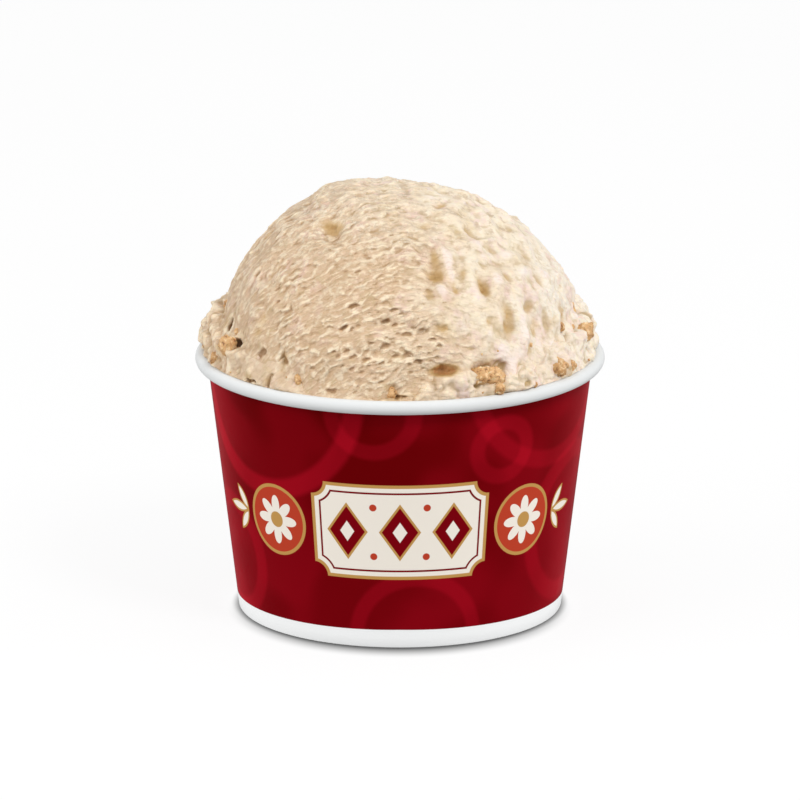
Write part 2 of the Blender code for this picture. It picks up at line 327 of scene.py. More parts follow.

# %% [markdown]
# ## The printed board
# The outside of the wall is offset-printed: a deep red ground with soft, lighter
# rings of the same ink, a plain white band round the foot and the bare white
# rim. The red is painted lighter towards the right as painted light, and towards
# both sides as a painted sheen. Rim and band are the same board, the rim's white
# painted darker as shade and the band's painted lighter as light. On the front
# and the back is an ornament in cream, gold and brick red.
# The pattern is worked out in the cup's own unrolled coordinates: the distance
# round the wall and the height. Each shape is a distance to its outline, which
# becomes ink where it is negative.

# %% Inks
RED_GROUND = srgb(104, 1, 5)
RED_SWIRL_AND_PAINTED_LIGHT = srgb(178, 14, 34)
CREAM_INK = srgb(246, 238, 226)
GOLD_INK = srgb(196, 150, 84)
BRICK_INK = srgb(190, 66, 44)
DARK_RED_INK = srgb(124, 4, 16)
# The rim and the band are one bare board: the rim's white is painted shade and the band's painted light.
WHITE_RIM_SHADED = srgb(221, 223, 223)
WHITE_BAND_LIT = srgb(252, 253, 253)
BOARD_GREY = srgb(236, 235, 231)
BOARD_WHITE = srgb(244, 244, 242)
BAND_TOP = 4.5
BAND_DROP = 0.015
PRINT_TOP = 57.6
BARE_CURL = 4.0
PRINT_EDGE = 0.16
MEAN_RADIUS = 41.5
# Each soft ring of the ground: place round the wall, height, radius and width, in mm.
RINGS = (
    (-34.0, 60.0, 24.0, 5.0), (24.0, 47.0, 6.5, 4.0), (40.0, 66.0, 24.0, 4.5), (52.0, 24.0, 17.0, 5.0),
    (-6.0, 57.0, 9.0, 4.0), (-52.0, 16.0, 13.0, 4.5), (4.0, 2.0, 15.0, 4.0),
)
print("soft rings on each half:", len(RINGS))

# %% Shapes as distances
def ink(distance, softness=0.12):
    """1 inside an outline and 0 outside it, with an edge as soft as print."""
    return (distance * (-1.0 / softness) + 0.5).clamped()


def lozenge(u, v, half_width, half_height):
    reach = abs(u) / half_width + abs(v) / half_height - 1.0
    return reach * (half_width * half_height / math.hypot(half_width, half_height))


def plaque(u, v, half_width, half_height, corner_radius):
    """A long panel with hollowed corners."""
    right, up = abs(u) - half_width, abs(v) - half_height
    return right.most(up).most(right.length_with(up) * -1.0 + corner_radius)


def leaf(u, v, angle, length, width):
    """A pointed leaf that grows from the origin at an angle."""
    cos, sin = math.cos(angle), math.sin(angle)
    along = u * cos + v * sin - length / 2.0
    across = v * cos - u * sin
    radius = (length * length / 4.0 + width * width / 4.0) / width
    return along.length_with(abs(across) + (radius - width / 2.0)) - radius


def soft_ring(u, v, radius, width):
    """A broad ring with soft edges: 1 along its middle."""
    off = abs(u.length_with(v) - radius)
    return off.step(width * 0.62, width * 0.28)


# %% Unrolled coordinates of the wall
def unrolled(x, y):
    """Distance in mm round the nearer of front and back, the radius and the angle."""
    angle = x.math("ARCTAN2", y * -1.0)
    half = (angle + math.pi / 2.0).wrapped(math.pi) - math.pi / 2.0
    return half * MEAN_RADIUS, x.length_with(y), angle


def ground_colour(tree, place, s, z):
    """The red ground with its lighter rings and soft clouds of the same ink, painted lighter towards the
    right as painted light and towards both sides as a painted sheen.
    """
    strokes = None
    for where, height, radius, width in RINGS:
        one = soft_ring(s - where, z - height, radius, width)
        strokes = one if strokes is None else strokes + one * 0.6
    cloud = noise_field(tree, place, 19.0, detail=1.0).step(0.40, 0.64)
    # Painted sheen: lighter red towards both sides, away from the front and the back.
    edges = abs(s).step(36.0, 58.0)
    # Painted light: lighter red towards the right.
    right = s.step(-12.0, 40.0)
    low = z.step(40.0, 8.0) * s.step(34.0, 4.0)
    one_sided = (strokes * 0.45 + right * 0.10) * abs(s).step(64.0, 54.0)
    share = (one_sided + cloud * 0.18 + edges * 0.46 + low * 0.14).clamped()
    return mixed(tree, share, RED_GROUND, RED_SWIRL_AND_PAINTED_LIGHT)


ORNAMENT_HEIGHT = 28.5
PANEL = (21.0, 11.6, 3.2)
PANEL_EDGE, PANEL_LINE, LINE_HALF = 0.8, 2.1, 0.24
LOZENGE_STEP = 12.4
LOZENGE, LOZENGE_EDGE, LOZENGE_HEART, LOZENGE_REACH = (4.9, 7.0), 0.55, (1.7, 2.5), 18.5
BEAD_RISE, BEAD_RADIUS, BEAD_REACH = 6.0, 0.85, 15.0
FLOWER_AT, FLOWER_RADIUS, FLOWER_EDGE, FLOWER_HEART = 31.6, 8.6, 0.8, 1.9
PETAL_START, PETAL_LENGTH, PETAL_PAIRS = 2.9, 3.0, 4.0
LEAF_AT, LEAF_WIDTH, LEAF_EDGE = 42.0, 2.6, 0.45
LEAVES = ((0.0, 9.5), (0.9, 7.0), (-0.9, 7.0))


def ornament_over(tree, base, s, z):
    """Adds the ornament: a panel with lozenges between two round flowers with leaves."""
    v = z - ORNAMENT_HEIGHT
    panel = plaque(s, v, *PANEL)
    repeat = (s + LOZENGE_STEP / 2.0).wrapped(LOZENGE_STEP) - LOZENGE_STEP / 2.0
    within = abs(s) - LOZENGE_REACH
    outer = lozenge(repeat, v, *LOZENGE).most(within)
    heart = lozenge(repeat, v, *LOZENGE_HEART).most(within)
    between = s.wrapped(LOZENGE_STEP) - LOZENGE_STEP / 2.0
    bead = between.length_with(abs(v) - BEAD_RISE) - BEAD_RADIUS
    across = abs(s) - FLOWER_AT
    radius = across.length_with(v)
    petals = abs((v.math("ARCTAN2", across) * PETAL_PAIRS).math("COSINE"))
    shapes = [
        (panel, GOLD_INK), (panel + PANEL_EDGE, CREAM_INK),
        (abs(panel + PANEL_LINE) - LINE_HALF, DARK_RED_INK),
        (outer, GOLD_INK), (outer + LOZENGE_EDGE, DARK_RED_INK), (heart, CREAM_INK),
        (bead.most(abs(s) - BEAD_REACH), BRICK_INK),
        (radius - FLOWER_RADIUS, GOLD_INK), (radius - (FLOWER_RADIUS - FLOWER_EDGE), BRICK_INK),
        (radius - (petals * PETAL_LENGTH + PETAL_START), CREAM_INK), (radius - FLOWER_HEART, GOLD_INK),
    ]
    for angle, length in LEAVES:
        shape = leaf(abs(s) - LEAF_AT, v, angle, length, LEAF_WIDTH)
        shapes += [(shape, GOLD_INK), (shape + LEAF_EDGE, CREAM_INK)]
    return layered(tree, base, [(ink(distance), colour) for distance, colour in shapes])


def board_bump(tree, place):
    """Fine fibres of the board under its coating, and a faint waviness."""
    fibres = noise_field(tree, place, 0.5, detail=3.0, stretch=(1.0, 1.0, 0.35))
    waves = noise_field(tree, place, 9.0, detail=1.0)
    return bump(tree, fibres * 0.2 + waves, 0.05)


# %% Printed finish
SEAM_ANGLE = math.radians(172.0)
SEAM_EDGE = 0.22


def printed_board():
    made, tree, place, x, y, z = new_finish("printed_board")
    s, radius, angle = unrolled(x, y)
    colour = ornament_over(tree, ground_colour(tree, place, s, z), s, z)
    outside = (radius - z * WALL_SLOPE - FOOT_RADIUS + PRINT_EDGE).step(-0.05, 0.05)
    printed = outside * ink(z * -1.0 - abs(s) * BAND_DROP + BAND_TOP) * ink(z - PRINT_TOP)
    lap = abs(angle * MEAN_RADIUS - (SEAM_ANGLE - 1.5 * math.pi) * MEAN_RADIUS) - SEAM_EDGE
    printed = printed * (ink(lap) * -1.0 + 1.0)
    # Painted shade on the bare rim and painted light on the bare band, which are the same board.
    bare = mixed(tree, ink(z * -1.0 + (CURL_CENTRE[1] - BARE_CURL)), WHITE_BAND_LIT, WHITE_RIM_SHADED)
    return finished(made, {
        "Base Color": mixed(tree, printed, bare, colour),
        "Roughness": noise_field(tree, place, 3.0, detail=3.0) * 0.12 + 0.36,
        "Specular IOR Level": 0.01,
        "Normal": board_bump(tree, place),
    })


def white_board():
    made, tree, place, *_ = new_finish("white_board")
    cloud = noise_field(tree, place, 6.0, detail=4.0)
    return finished(made, {
        "Base Color": mixed(tree, cloud, BOARD_GREY, BOARD_WHITE),
        "Roughness": 0.6,
        "Normal": board_bump(tree, place),
    })


print_finish = printed_board()
white_finish = white_board()
print("nodes in the printed finish:", len(print_finish.node_tree.nodes))

# %% [markdown]
# ## The wall
# The wall's blank meets itself in a lapped seam at the left, where one layer
# lies on the other. The lift below thickens the wall slowly towards the seam
# and drops in a quarter of a millimetre, as the top layer's cut edge does.

# %% Wall
SEAM_LIFT = 0.25
SEAM_RAMP = math.radians(24.0)
SEAM_TOP = CURL_CENTRE[1] - 1.9
SEAM_FADE_TOP, SEAM_FADE_FOOT = 3.0, 1.5
SEAM_STEPS = (-0.6, -0.35, -0.02, 0.02, 0.3)
FOOT_STEP = 0.09
SHARP_EDGE = math.radians(40.0)


def seam_lift(angle, r, z):
    """The lap's lift of the outer face below the curl."""
    if r < wall_outside(z) - 0.1 or z > SEAM_TOP or z < FOOT_CORNER * 0.5:
        return 0.0
    behind = (SEAM_ANGLE - angle) % (2.0 * math.pi)
    rise = max(0.0, 1.0 - behind / SEAM_RAMP)
    fade = min(1.0, (SEAM_TOP - z) / SEAM_FADE_TOP, z / SEAM_FADE_FOOT)
    return SEAM_LIFT * rise * rise * (3.0 - 2.0 * rise) * fade


def wall_profile():
    """The wall's section: outer face, curl, inner face, then the hem."""
    def hem_outer(z):
        return wall_inside(z) - PAPER - 2.0 * CLEARANCE

    foot = (wall_outside(FOOT_CORNER), FOOT_CORNER)
    curl_start = (CURL_CENTRE[0] - CURL_RADIUS + PAPER, CURL_CENTRE[1])
    points = list(line(foot, curl_start, 28))
    points += arc(CURL_CENTRE, CURL_RADIUS - PAPER, math.pi, CURL_END, 22)
    points += arc(CURL_CENTRE, CURL_RADIUS, CURL_END, math.pi, 30)
    points += [(wall_inside(PAPER), PAPER), (hem_outer(PAPER), PAPER)]
    points += [(hem_outer(HEM_HEIGHT), HEM_HEIGHT), (hem_outer(HEM_HEIGHT) - PAPER, HEM_HEIGHT)]
    points += [(hem_outer(FOOT_CORNER) - PAPER, FOOT_CORNER), (hem_outer(0.1) - PAPER + 0.1, FOOT_STEP)]
    points += [(hem_outer(0.0) - PAPER + FOOT_CORNER, 0.0), (wall_outside(0.0) - FOOT_CORNER, 0.0)]
    points += [(wall_outside(0.0) - FOOT_STEP, FOOT_STEP)]
    return points


wall_angles = sorted(full_turn(288) + [SEAM_ANGLE + math.radians(step) for step in SEAM_STEPS])
points, faces = turned(wall_profile(), wall_angles, seam_lift)
wall = mesh_piece("paper_wall", points, faces, print_finish, "cup_wall")
wall.data.set_sharp_from_angle(angle=SHARP_EDGE)

# %% [markdown]
# ## The base
# The disc is pressed with its edge turned down into a flange, which the hem
# grips. It is unprinted board, seen only from below.

# %% Base
BASE_UNDERSIDE = HEM_HEIGHT + CLEARANCE
BASE_TOP = BASE_UNDERSIDE + PAPER
BASE_MIDDLE = 0.2


def base_profile():
    flange_end = PAPER + CLEARANCE

    def outer(z):
        return wall_inside(z) - CLEARANCE

    bend = (outer(BASE_TOP) - BEND_RADIUS, BASE_TOP - BEND_RADIUS)
    points = list(line((BASE_MIDDLE, BASE_TOP), (bend[0], BASE_TOP), 24))
    points += arc(bend, BEND_RADIUS, math.pi / 2.0, 0.0, 8)
    points += [(outer(flange_end), flange_end), (outer(flange_end) - PAPER, flange_end)]
    points += arc(bend, BEND_RADIUS - PAPER, 0.0, math.pi / 2.0, 6)
    points += list(line((bend[0] - 0.4, BASE_UNDERSIDE), (BASE_MIDDLE, BASE_UNDERSIDE), 24))
    points += [(BASE_MIDDLE, BASE_UNDERSIDE)]
    return points


points, faces = turned(base_profile(), full_turn(192))
base = mesh_piece("paper_base", points, faces, white_finish, "cup_base")
base.data.set_sharp_from_angle(angle=SHARP_EDGE)

# %% [markdown]
# ## The scoop's broad form
# The scoop is close to a ball of 45 mm radius, fuller at its upper left, and
# it was pressed into the cup so that some ice cream swelled over the rim's
# inner edge as a ragged collar. A ball of evenly spread points, each pushed in
# or out along its own direction, can follow all of this. The sums are done for
# all points at once with numpy, and Blender's own noise gives the unevenness.

# %% Broad form of the scoop
def unit(vector):
    return np.array(vector) / np.linalg.norm(vector)


DOME_RADIUS = 44.6
DOME_CENTRE = np.array((-0.4, 0.0, 55.0))
SHOULDER_DIRECTION = unit((-0.46, 0.14, 0.88))
SHOULDER_RISE = 1.7
SHOULDER_WIDTH = math.radians(26.0)
WIDEST_RADIUS = RIM_RADIUS - 0.4
# Each hollow: azimuth and elevation in degrees, then width, height and depth in mm.
# The first two are broad, the rest are torn.
HOLLOWS = (
    (180.0, 26.0, 62.0, 30.0, 1.4), (0.0, 12.0, 40.0, 16.0, 0.8), (-150.0, 17.0, 4.0, 3.6, 2.2),
    (-75.5, 46.5, 4.0, 10.0, 1.7), (-68.0, 43.0, 3.4, 8.0, 1.2), (-55.5, 39.8, 3.4, 5.5, 1.3),
    (-75.8, 15.8, 5.2, 3.2, 1.3), (-61.0, 15.2, 6.5, 3.4, 1.2), (-94.8, 30.5, 6.5, 3.2, 1.2),
    (-84.2, 27.3, 6.0, 3.2, 1.3), (-98.5, 21.0, 8.0, 3.6, 1.1), (-50.8, 29.7, 3.6, 7.0, 1.2),
    (-37.5, 25.0, 3.6, 6.0, 1.0), (-20.5, 24.5, 4.4, 6.0, 1.4), (-128.0, 13.5, 4.2, 3.4, 1.2),
    (-132.0, 57.0, 6.0, 4.0, 0.9), (35.0, 26.0, 5.0, 7.0, 1.4), (96.0, 22.0, 7.0, 4.0, 1.5),
    (150.0, 24.0, 5.0, 4.0, 1.6), (60.0, 48.0, 4.0, 8.0, 1.1),
)
BROAD_HOLLOWS = 2
NOISE_GAIN = 1.6
# Uneven relief as pairs of height and width in mm.
BROAD_WAVE, BROAD_LUMP = (0.35, 24.0), (0.45, 7.5)
BILLOW_HEIGHT, BILLOW_SIZE, BILLOW_MIDDLE = 2.0, 9.0, 0.35
PALE_TOP_DROP = 0.7
CREVICE_DEPTH, CREVICE_RISE, CREVICE_WIDTH = 0.8, math.radians(2.6), math.radians(2.2)
COLLAR_TOP, COLLAR_SWING, COLLAR_RAG = math.radians(15.5), math.radians(4.0), math.radians(6.0)
COLLAR_RAG_SIZE = 13.0


def smooth_step(low, high, value):
    t = np.clip((value - low) / (high - low), 0.0, 1.0)
    return t * t * (3.0 - 2.0 * t)


def noise_at(points, size, offset=0.0):
    """Gradient noise, about -1 to 1, at many points with waves of that size in mm."""
    moved = offset if isinstance(offset, tuple) else (offset, 2.0 * offset, -offset)
    return np.array([noise.noise(p) for p in (points / size + np.array(moved)).tolist()]) * NOISE_GAIN


def ring_of(radius, height, azimuth):
    """Points round the axis at that radius and height."""
    return np.stack([radius * np.cos(azimuth), radius * np.sin(azimuth), height + 0.0 * azimuth], -1)


def directions_of(azimuth, elevation):
    flat = np.cos(elevation)
    return np.stack([np.cos(azimuth) * flat, np.sin(azimuth) * flat, np.sin(elevation)], -1)


def side_of(directions):
    """Below 0 on the tan, scraped side, above 0 on the paler side."""
    edge = directions[:, 0] + 0.25 * directions[:, 1] * directions[:, 2]
    return edge + 0.1375 * noise_at(directions, 1.0 / 2.3, (3.1, 0.4, 1.7))


def cream_share(directions):
    """0 where the scoop is tan and scraped, 1 on the paler side, as the broad form needs it."""
    return smooth_step(0.10, 0.30, side_of(directions))


def pale_share(directions):
    """How pale and how little scraped it is: a broad and patchy change."""
    edge = side_of(directions) + 0.16 * noise_at(directions, 1.0 / 7.0, (1.0, 2.0, 3.0))
    edge = edge + 0.08 * noise_at(directions, 1.0 / 18.0, (4.0, 2.0, 3.0))
    return smooth_step(-0.22, 0.62, edge)


def soft_spots(spots, azimuth, elevation):
    """Sum of soft round bumps, each (azimuth, elevation, width, height, strength)."""
    total = np.zeros_like(azimuth)
    for where, height, width, tall, strength in spots:
        apart = (azimuth - math.radians(where) + math.pi) % (2.0 * math.pi) - math.pi
        across = apart * np.cos(elevation) * DOME_RADIUS
        up = (elevation - math.radians(height)) * DOME_RADIUS
        total += strength * np.exp(-((2.0 * across / width) ** 2) - (2.0 * up / tall) ** 2)
    return total


def collar_top(azimuth, directions):
    """Elevation of the collar's upper edge, and its low ragged wander."""
    ragged = noise_at(directions * DOME_RADIUS, COLLAR_RAG_SIZE, (9.0, 1.0, 4.0)) / NOISE_GAIN
    return COLLAR_TOP + COLLAR_SWING * np.cos(2.0 * azimuth) + COLLAR_RAG * ragged, ragged


def uneven(points, height_and_width, offset=0.0):
    """Noise at points, of that height and width in mm."""
    return height_and_width[0] * noise_at(points, height_and_width[1], offset)


def dome_reach(directions, azimuth, elevation, cream):
    """Distance from the dome's centre to the scoop's broad surface, without its collar."""
    points = directions * DOME_RADIUS
    off_shoulder = np.arccos(np.clip(directions @ SHOULDER_DIRECTION, -1.0, 1.0))
    reach = DOME_RADIUS + SHOULDER_RISE * np.exp(-((off_shoulder / SHOULDER_WIDTH) ** 2))
    reach += uneven(points, BROAD_WAVE) + uneven(points, BROAD_LUMP, 7.0)
    reach -= soft_spots(HOLLOWS, azimuth, elevation)
    billow = BILLOW_MIDDLE - abs(noise_at(points, BILLOW_SIZE, (2.0, 8.0, 5.0)) / NOISE_GAIN)
    top_share = smooth_step(0.5, 0.85, directions[:, 2])
    reach += cream * (BILLOW_HEIGHT * billow - PALE_TOP_DROP * top_share)
    top, ragged = collar_top(azimuth, directions)
    above = (elevation - top - CREVICE_RISE) / CREVICE_WIDTH
    reach -= CREVICE_DEPTH * np.exp(-(above ** 2)) * (0.6 + 0.8 * ragged)
    return reach


print("ball of", DOME_RADIUS, "mm with", len(HOLLOWS) - BROAD_HOLLOWS, "torn hollows")

# %% Where the picture shows something
def seen_at(x, y, reach=DOME_RADIUS):
    """Azimuth and elevation, in degrees, where a line of sight through that pixel meets the scoop."""
    sine, cosine = math.sin(VIEW_ELEVATION), math.cos(VIEW_ELEVATION)
    right, up = x - PICTURE_PIXELS / 2.0, PICTURE_PIXELS / 2.0 - y
    sight = np.array((right, up * sine + LENS_PIXELS * cosine, up * cosine - LENS_PIXELS * sine))
    sight /= np.linalg.norm(sight)
    eye = np.array(camera.location) / MM - DOME_CENTRE
    along = -(eye @ sight)
    along -= math.sqrt(max(0.0, along * along - eye @ eye + reach * reach))
    met = eye + along * sight
    return math.degrees(math.atan2(met[1], met[0])), math.degrees(math.asin(met[2] / np.linalg.norm(met)))


FRONT_MIDDLE = (400, 300)
print("the middle of the scoop's front is at", [round(a, 1) for a in seen_at(*FRONT_MIDDLE)])

# %% [markdown]
# ## Crumbs: where they lie
# Toffee crumbs were folded into the ice cream. Where the front shows one, it
# has its place here as an azimuth, an elevation and a length. The rest are
# spread with the golden angle, thickest low down where the collar is torn.

# %% Crumb places
# Each crumb: azimuth and elevation in degrees, length in mm.
FRONT_CRUMBS = (
    (-154.7, 15.0, 5.5), (-161.0, 9.5, 3.4), (-64.5, 13.6, 5.0), (-61.0, 12.4, 5.6),
    (-60.0, 9.2, 3.4), (-11.7, 15.9, 5.6), (-23.5, 21.5, 3.8), (-35.4, 10.8, 5.4),
    (-30.0, 9.8, 3.4), (-2.0, 22.5, 4.0), (-40.5, 30.4, 2.8), (-132.0, 59.0, 4.2),
    (-92.0, 9.4, 3.4), (-121.5, 11.5, 2.8),
)
GOLDEN_ANGLE = math.pi * (3.0 - math.sqrt(5.0))
BARE_FRONT = (math.radians(-172.0), math.radians(16.0))
SPREAD_COUNT, SPREAD_LENGTHS, SPREAD_SEED = 28, (2.8, 5.2), 11


def spread_crumbs(count, shortest, longest, seed, highest=45.0, lowest=10.0, bare_front=True):
    """(azimuth, elevation, length) of crumbs spread round the scoop."""
    draw = random.Random(seed)
    for i in range(count):
        azimuth = (i * GOLDEN_ANGLE + draw.uniform(-0.2, 0.2)) % (2.0 * math.pi) - math.pi
        elevation = math.radians(lowest + highest * draw.random() ** 2.2)
        length = shortest + (longest - shortest) * draw.random() ** 1.5
        if not bare_front or not BARE_FRONT[0] < azimuth < BARE_FRONT[1]:
            yield azimuth, elevation, length


SUNKEN_CRUMBS = {(-132.0, 59.0), (-40.5, 30.4)}
crumb_places = [(math.radians(a), math.radians(e), length) for a, e, length in FRONT_CRUMBS]
crumb_places += list(spread_crumbs(SPREAD_COUNT, *SPREAD_LENGTHS, SPREAD_SEED))
print(len(crumb_places), "large crumbs")

# %% [markdown]
# ## The scraped surface
# The scoop's blade drags the ice cream round in circles and tears it into small
# overlapping scales: each swells gently towards its lower edge and breaks off
# there. A cell pattern gives this, when each point's height is how far it lies
# below its own cell's middle. The cells are longer along the blade's path, and
# leaning the high edges over the low ones gives each a small shadow. Where the
# tearing went deeper it left open pits, darkest under their upper edge. The
# paler side was hardly scraped, and has soft upright folds and dimples instead.
# Low on the left the surface was smeared smooth.

# %% The blade's path
SLOW_BEND, QUICK_BEND, SIDE_BEND = (2.2, 9.0), (0.5, 2.0), (0.9, 2.4)
SCRAPE_AXIS = unit((0.15, -0.85, -0.5))
SCRAPE_SIDE = unit(np.cross(SCRAPE_AXIS, (0.0, 0.0, 1.0)))
SCRAPE_UP = np.cross(SCRAPE_SIDE, SCRAPE_AXIS)


def scrape_grid(directions):
    """Each point as (distance across the blade's path, and two that run along it), in mm."""
    angle = np.arccos(np.clip(directions @ SCRAPE_AXIS, -1.0, 1.0))
    return np.stack([
        DOME_RADIUS * angle,
        DOME_RADIUS * (directions @ SCRAPE_SIDE),
        DOME_RADIUS * (directions @ SCRAPE_UP),
    ], -1)


def wandering(grid, points):
    """The grid with its lines bent, as the ice cream gave way unevenly."""
    across = uneven(points, SLOW_BEND, 3.0) + uneven(points, QUICK_BEND, 3.5)
    along = uneven(points, SIDE_BEND, 3.7)
    return grid + np.stack([across, along, -along], -1)


# %% Torn scales
SCATTER_AXES = np.array((12.99, 78.23, 37.72))
SCATTER_GAIN = 43.7
LARGE_SCALE, SMALL_SCALE = (1.5, 2.9), (0.85, 1.5)
FRAY_SIZES = np.array((0.8, 1.3, 1.3))


def torn_scales(bent, across, along, offset):
    """Height, about 0 to 1, of overlapping scales of that size in mm, each of its own strength."""
    cells = bent / np.array((across, along, along)) + offset
    middles = np.array([noise.voronoi(cell)[1][0][:] for cell in cells.tolist()])
    strength = np.abs(np.sin(middles @ SCATTER_AXES * SCATTER_GAIN))
    return np.clip(0.5 - (cells[:, 0] - middles[:, 0]), 0.0, 1.2) * (0.3 + 0.7 * strength)


def stroke_relief(grid, points):
    """Height in mm of the torn scales, large ones with small ones on them."""
    bent = wandering(grid, points)
    large = torn_scales(bent, *LARGE_SCALE, 5.0)
    small = torn_scales(bent, *SMALL_SCALE, 9.0)
    frayed = noise_at(bent, FRAY_SIZES, 2.5)
    return 0.60 * large + 0.34 * small + 0.10 * frayed


# %% Open pits
# Each pit: its place in the picture in pixels, and its length in mm.
FRONT_PITS = (
    (385, 320, 2.8), (395, 324, 1.9), (407, 334, 3.2), (423, 331, 3.8), (432, 340, 2.4), (439, 346, 1.9),
    (394, 338, 1.6), (371, 343, 1.6), (385, 346, 3.0), (420, 347, 1.5), (408, 355, 3.0), (418, 361, 2.6),
    (395, 356, 2.2), (374, 362, 1.5), (381, 363, 1.9), (389, 362, 1.3), (366, 359, 2.4), (353, 357, 2.2),
    (347, 351, 2.1), (335, 351, 1.6), (339, 357, 1.5), (343, 366, 1.6), (352, 369, 1.6), (423, 368, 1.3),
    (358, 386, 1.5), (381, 382, 1.5), (344, 328, 2.6), (352, 329, 1.5), (394, 310, 2.2), (401, 314, 1.6),
    (378, 312, 1.2), (353, 306, 2.8), (428, 353, 1.4), (431, 361, 1.5), (412, 345, 1.2), (362, 372, 1.3),
)
# Where the smallest pits crowd in the picture: the middle, and the half width and height, in pixels.
CROWD_MIDDLE = (388, 346)
CROWD_REACH = (52, 36)
CROWD_COUNT, SCATTERED_COUNT = 70, 190


def torn_pits():
    """(azimuth, elevation, length, width, depth) of the open pits in front and all round."""
    draw = random.Random(5)
    for x, y, length in FRONT_PITS:
        azimuth, elevation = seen_at(x, y)
        width = draw.uniform(0.36, 0.50) * length
        depth = min(0.36 * length + 0.2, 1.1)
        yield math.radians(azimuth), math.radians(elevation), length * 1.1, width, depth
    for _ in range(CROWD_COUNT):
        turn, out = draw.uniform(0.0, 2.0 * math.pi), draw.uniform(0.1, 1.0)
        x = CROWD_MIDDLE[0] + CROWD_REACH[0] * out * math.cos(turn)
        y = CROWD_MIDDLE[1] + CROWD_REACH[1] * out * math.sin(turn)
        azimuth, elevation = seen_at(x, y)
        length = draw.uniform(0.9, 1.9)
        yield math.radians(azimuth), math.radians(elevation), length, 0.42 * length, 0.34 * length
    for _ in range(SCATTERED_COUNT):
        azimuth = draw.uniform(-math.pi, math.pi)
        elevation = math.asin(draw.uniform(0.15, 0.97))
        length = draw.uniform(0.9, 2.4)
        yield azimuth, elevation, length, length * draw.uniform(0.3, 0.5), draw.uniform(0.25, 0.8)


# In the next three lists: place in the picture in pixels, then width, height, and depth or rise, in mm.
FRONT_HOLES = (
    (230, 343, 2.7, 2.9, 5.0), (223, 326, 1.8, 4.2, 2.6), (251, 380, 4.4, 1.2, 1.6),
    (269, 383, 1.6, 3.4, 1.0), (260, 353, 2.4, 3.4, 0.6), (283, 361, 2.6, 4.4, 0.8),
    (445, 370, 4.6, 2.2, 0.5), (500, 366, 2.6, 3.0, 0.8), (571, 343, 1.8, 4.0, 1.2),
    (585, 318, 1.6, 3.0, 1.2), (476, 386, 3.0, 1.4, 1.0), (524, 384, 2.4, 1.6, 0.9),
    (330, 392, 3.0, 1.2, 0.7), (399, 398, 3.6, 1.4, 1.1),
)
FRONT_FURROWS = (
    (435, 257, 2.8, 6.6, 0.75), (438, 273, 3.6, 3.8, 0.95), (430, 294, 2.4, 4.0, 0.5),
    (463, 274, 2.4, 4.0, 0.6), (456, 290, 2.0, 4.0, 0.55), (485, 287, 2.8, 5.4, 0.9),
    (506, 278, 2.2, 4.0, 0.5), (457, 249, 2.2, 3.6, 0.45), (510, 312, 2.2, 4.6, 0.8),
    (509, 327, 4.8, 2.8, 0.8), (537, 331, 2.2, 3.8, 0.65), (530, 305, 2.6, 2.6, 0.5),
    (529, 347, 2.2, 4.0, 0.65), (547, 318, 2.0, 5.0, 0.5), (525, 258, 3.4, 3.0, 0.4),
    (541, 285, 2.4, 3.2, 0.4), (487, 323, 2.6, 3.0, 0.4), (445, 327, 3.4, 2.6, 0.45),
    (476, 258, 2.2, 4.4, 0.4), (496, 262, 2.4, 3.6, 0.35), (441, 207, 4.6, 2.0, 0.4),
    (443, 191, 4.4, 2.0, 0.4), (468, 229, 2.4, 3.0, 0.35), (424, 226, 4.0, 2.2, 0.4),
    (334, 227, 5.6, 3.2, 0.5), (300, 214, 4.0, 2.6, 0.3), (362, 201, 4.0, 2.2, 0.3),
    (400, 212, 3.6, 2.0, 0.3),
)
FRONT_RIDGES = (
    (446, 259, 2.4, 9.0, 0.7), (430, 239, 3.4, 3.4, 0.35), (442, 291, 3.2, 4.6, 0.55),
    (468, 262, 2.2, 5.0, 0.5), (472, 284, 2.6, 6.0, 0.45), (495, 280, 2.8, 5.0, 0.5),
    (524, 337, 2.8, 7.0, 0.6), (540, 344, 3.0, 5.4, 0.6), (513, 346, 2.6, 4.6, 0.5),
    (536, 308, 3.0, 3.4, 0.4), (497, 318, 2.4, 5.0, 0.35), (553, 326, 2.6, 6.0, 0.4),
    (500, 350, 3.0, 5.0, 0.5), (478, 246, 2.8, 4.6, 0.3), (517, 290, 3.0, 4.0, 0.3),
)
DEEPEST_HOLE = 2.4


def spots_seen(spots, angles):
    """Soft bumps where the picture shows them, each (x, y, width, height, strength)."""
    return soft_spots([(*seen_at(x, y), *size) for x, y, *size in spots], *angles)


def front_holes(reach, directions, angles):
    """Depth of the larger holes in front, with ragged outlines, for a surface at that reach."""
    bend = noise_at(directions * reach, 2.2, 17.0)
    ragged = 0.75 + 0.45 * noise_at(directions * reach, 1.3, 18.0)
    bent = angles[0] + 0.012 * bend, angles[1] + 0.012 * np.roll(bend, 1)
    depth = np.zeros(len(directions))
    for x, y, width, tall, deepest in FRONT_HOLES:
        share = soft_spots([(*seen_at(x, y, reach), width, tall, 1.0)], *bent) * ragged
        depth = np.maximum(depth, deepest * smooth_step(0.12, 0.62, share))
    return np.minimum(depth, DEEPEST_HOLE)


def front_folds(angles):
    """Height of the soft upright ridges and furrows in front on the paler side."""
    return spots_seen(FRONT_RIDGES, angles) - spots_seen(FRONT_FURROWS, angles)


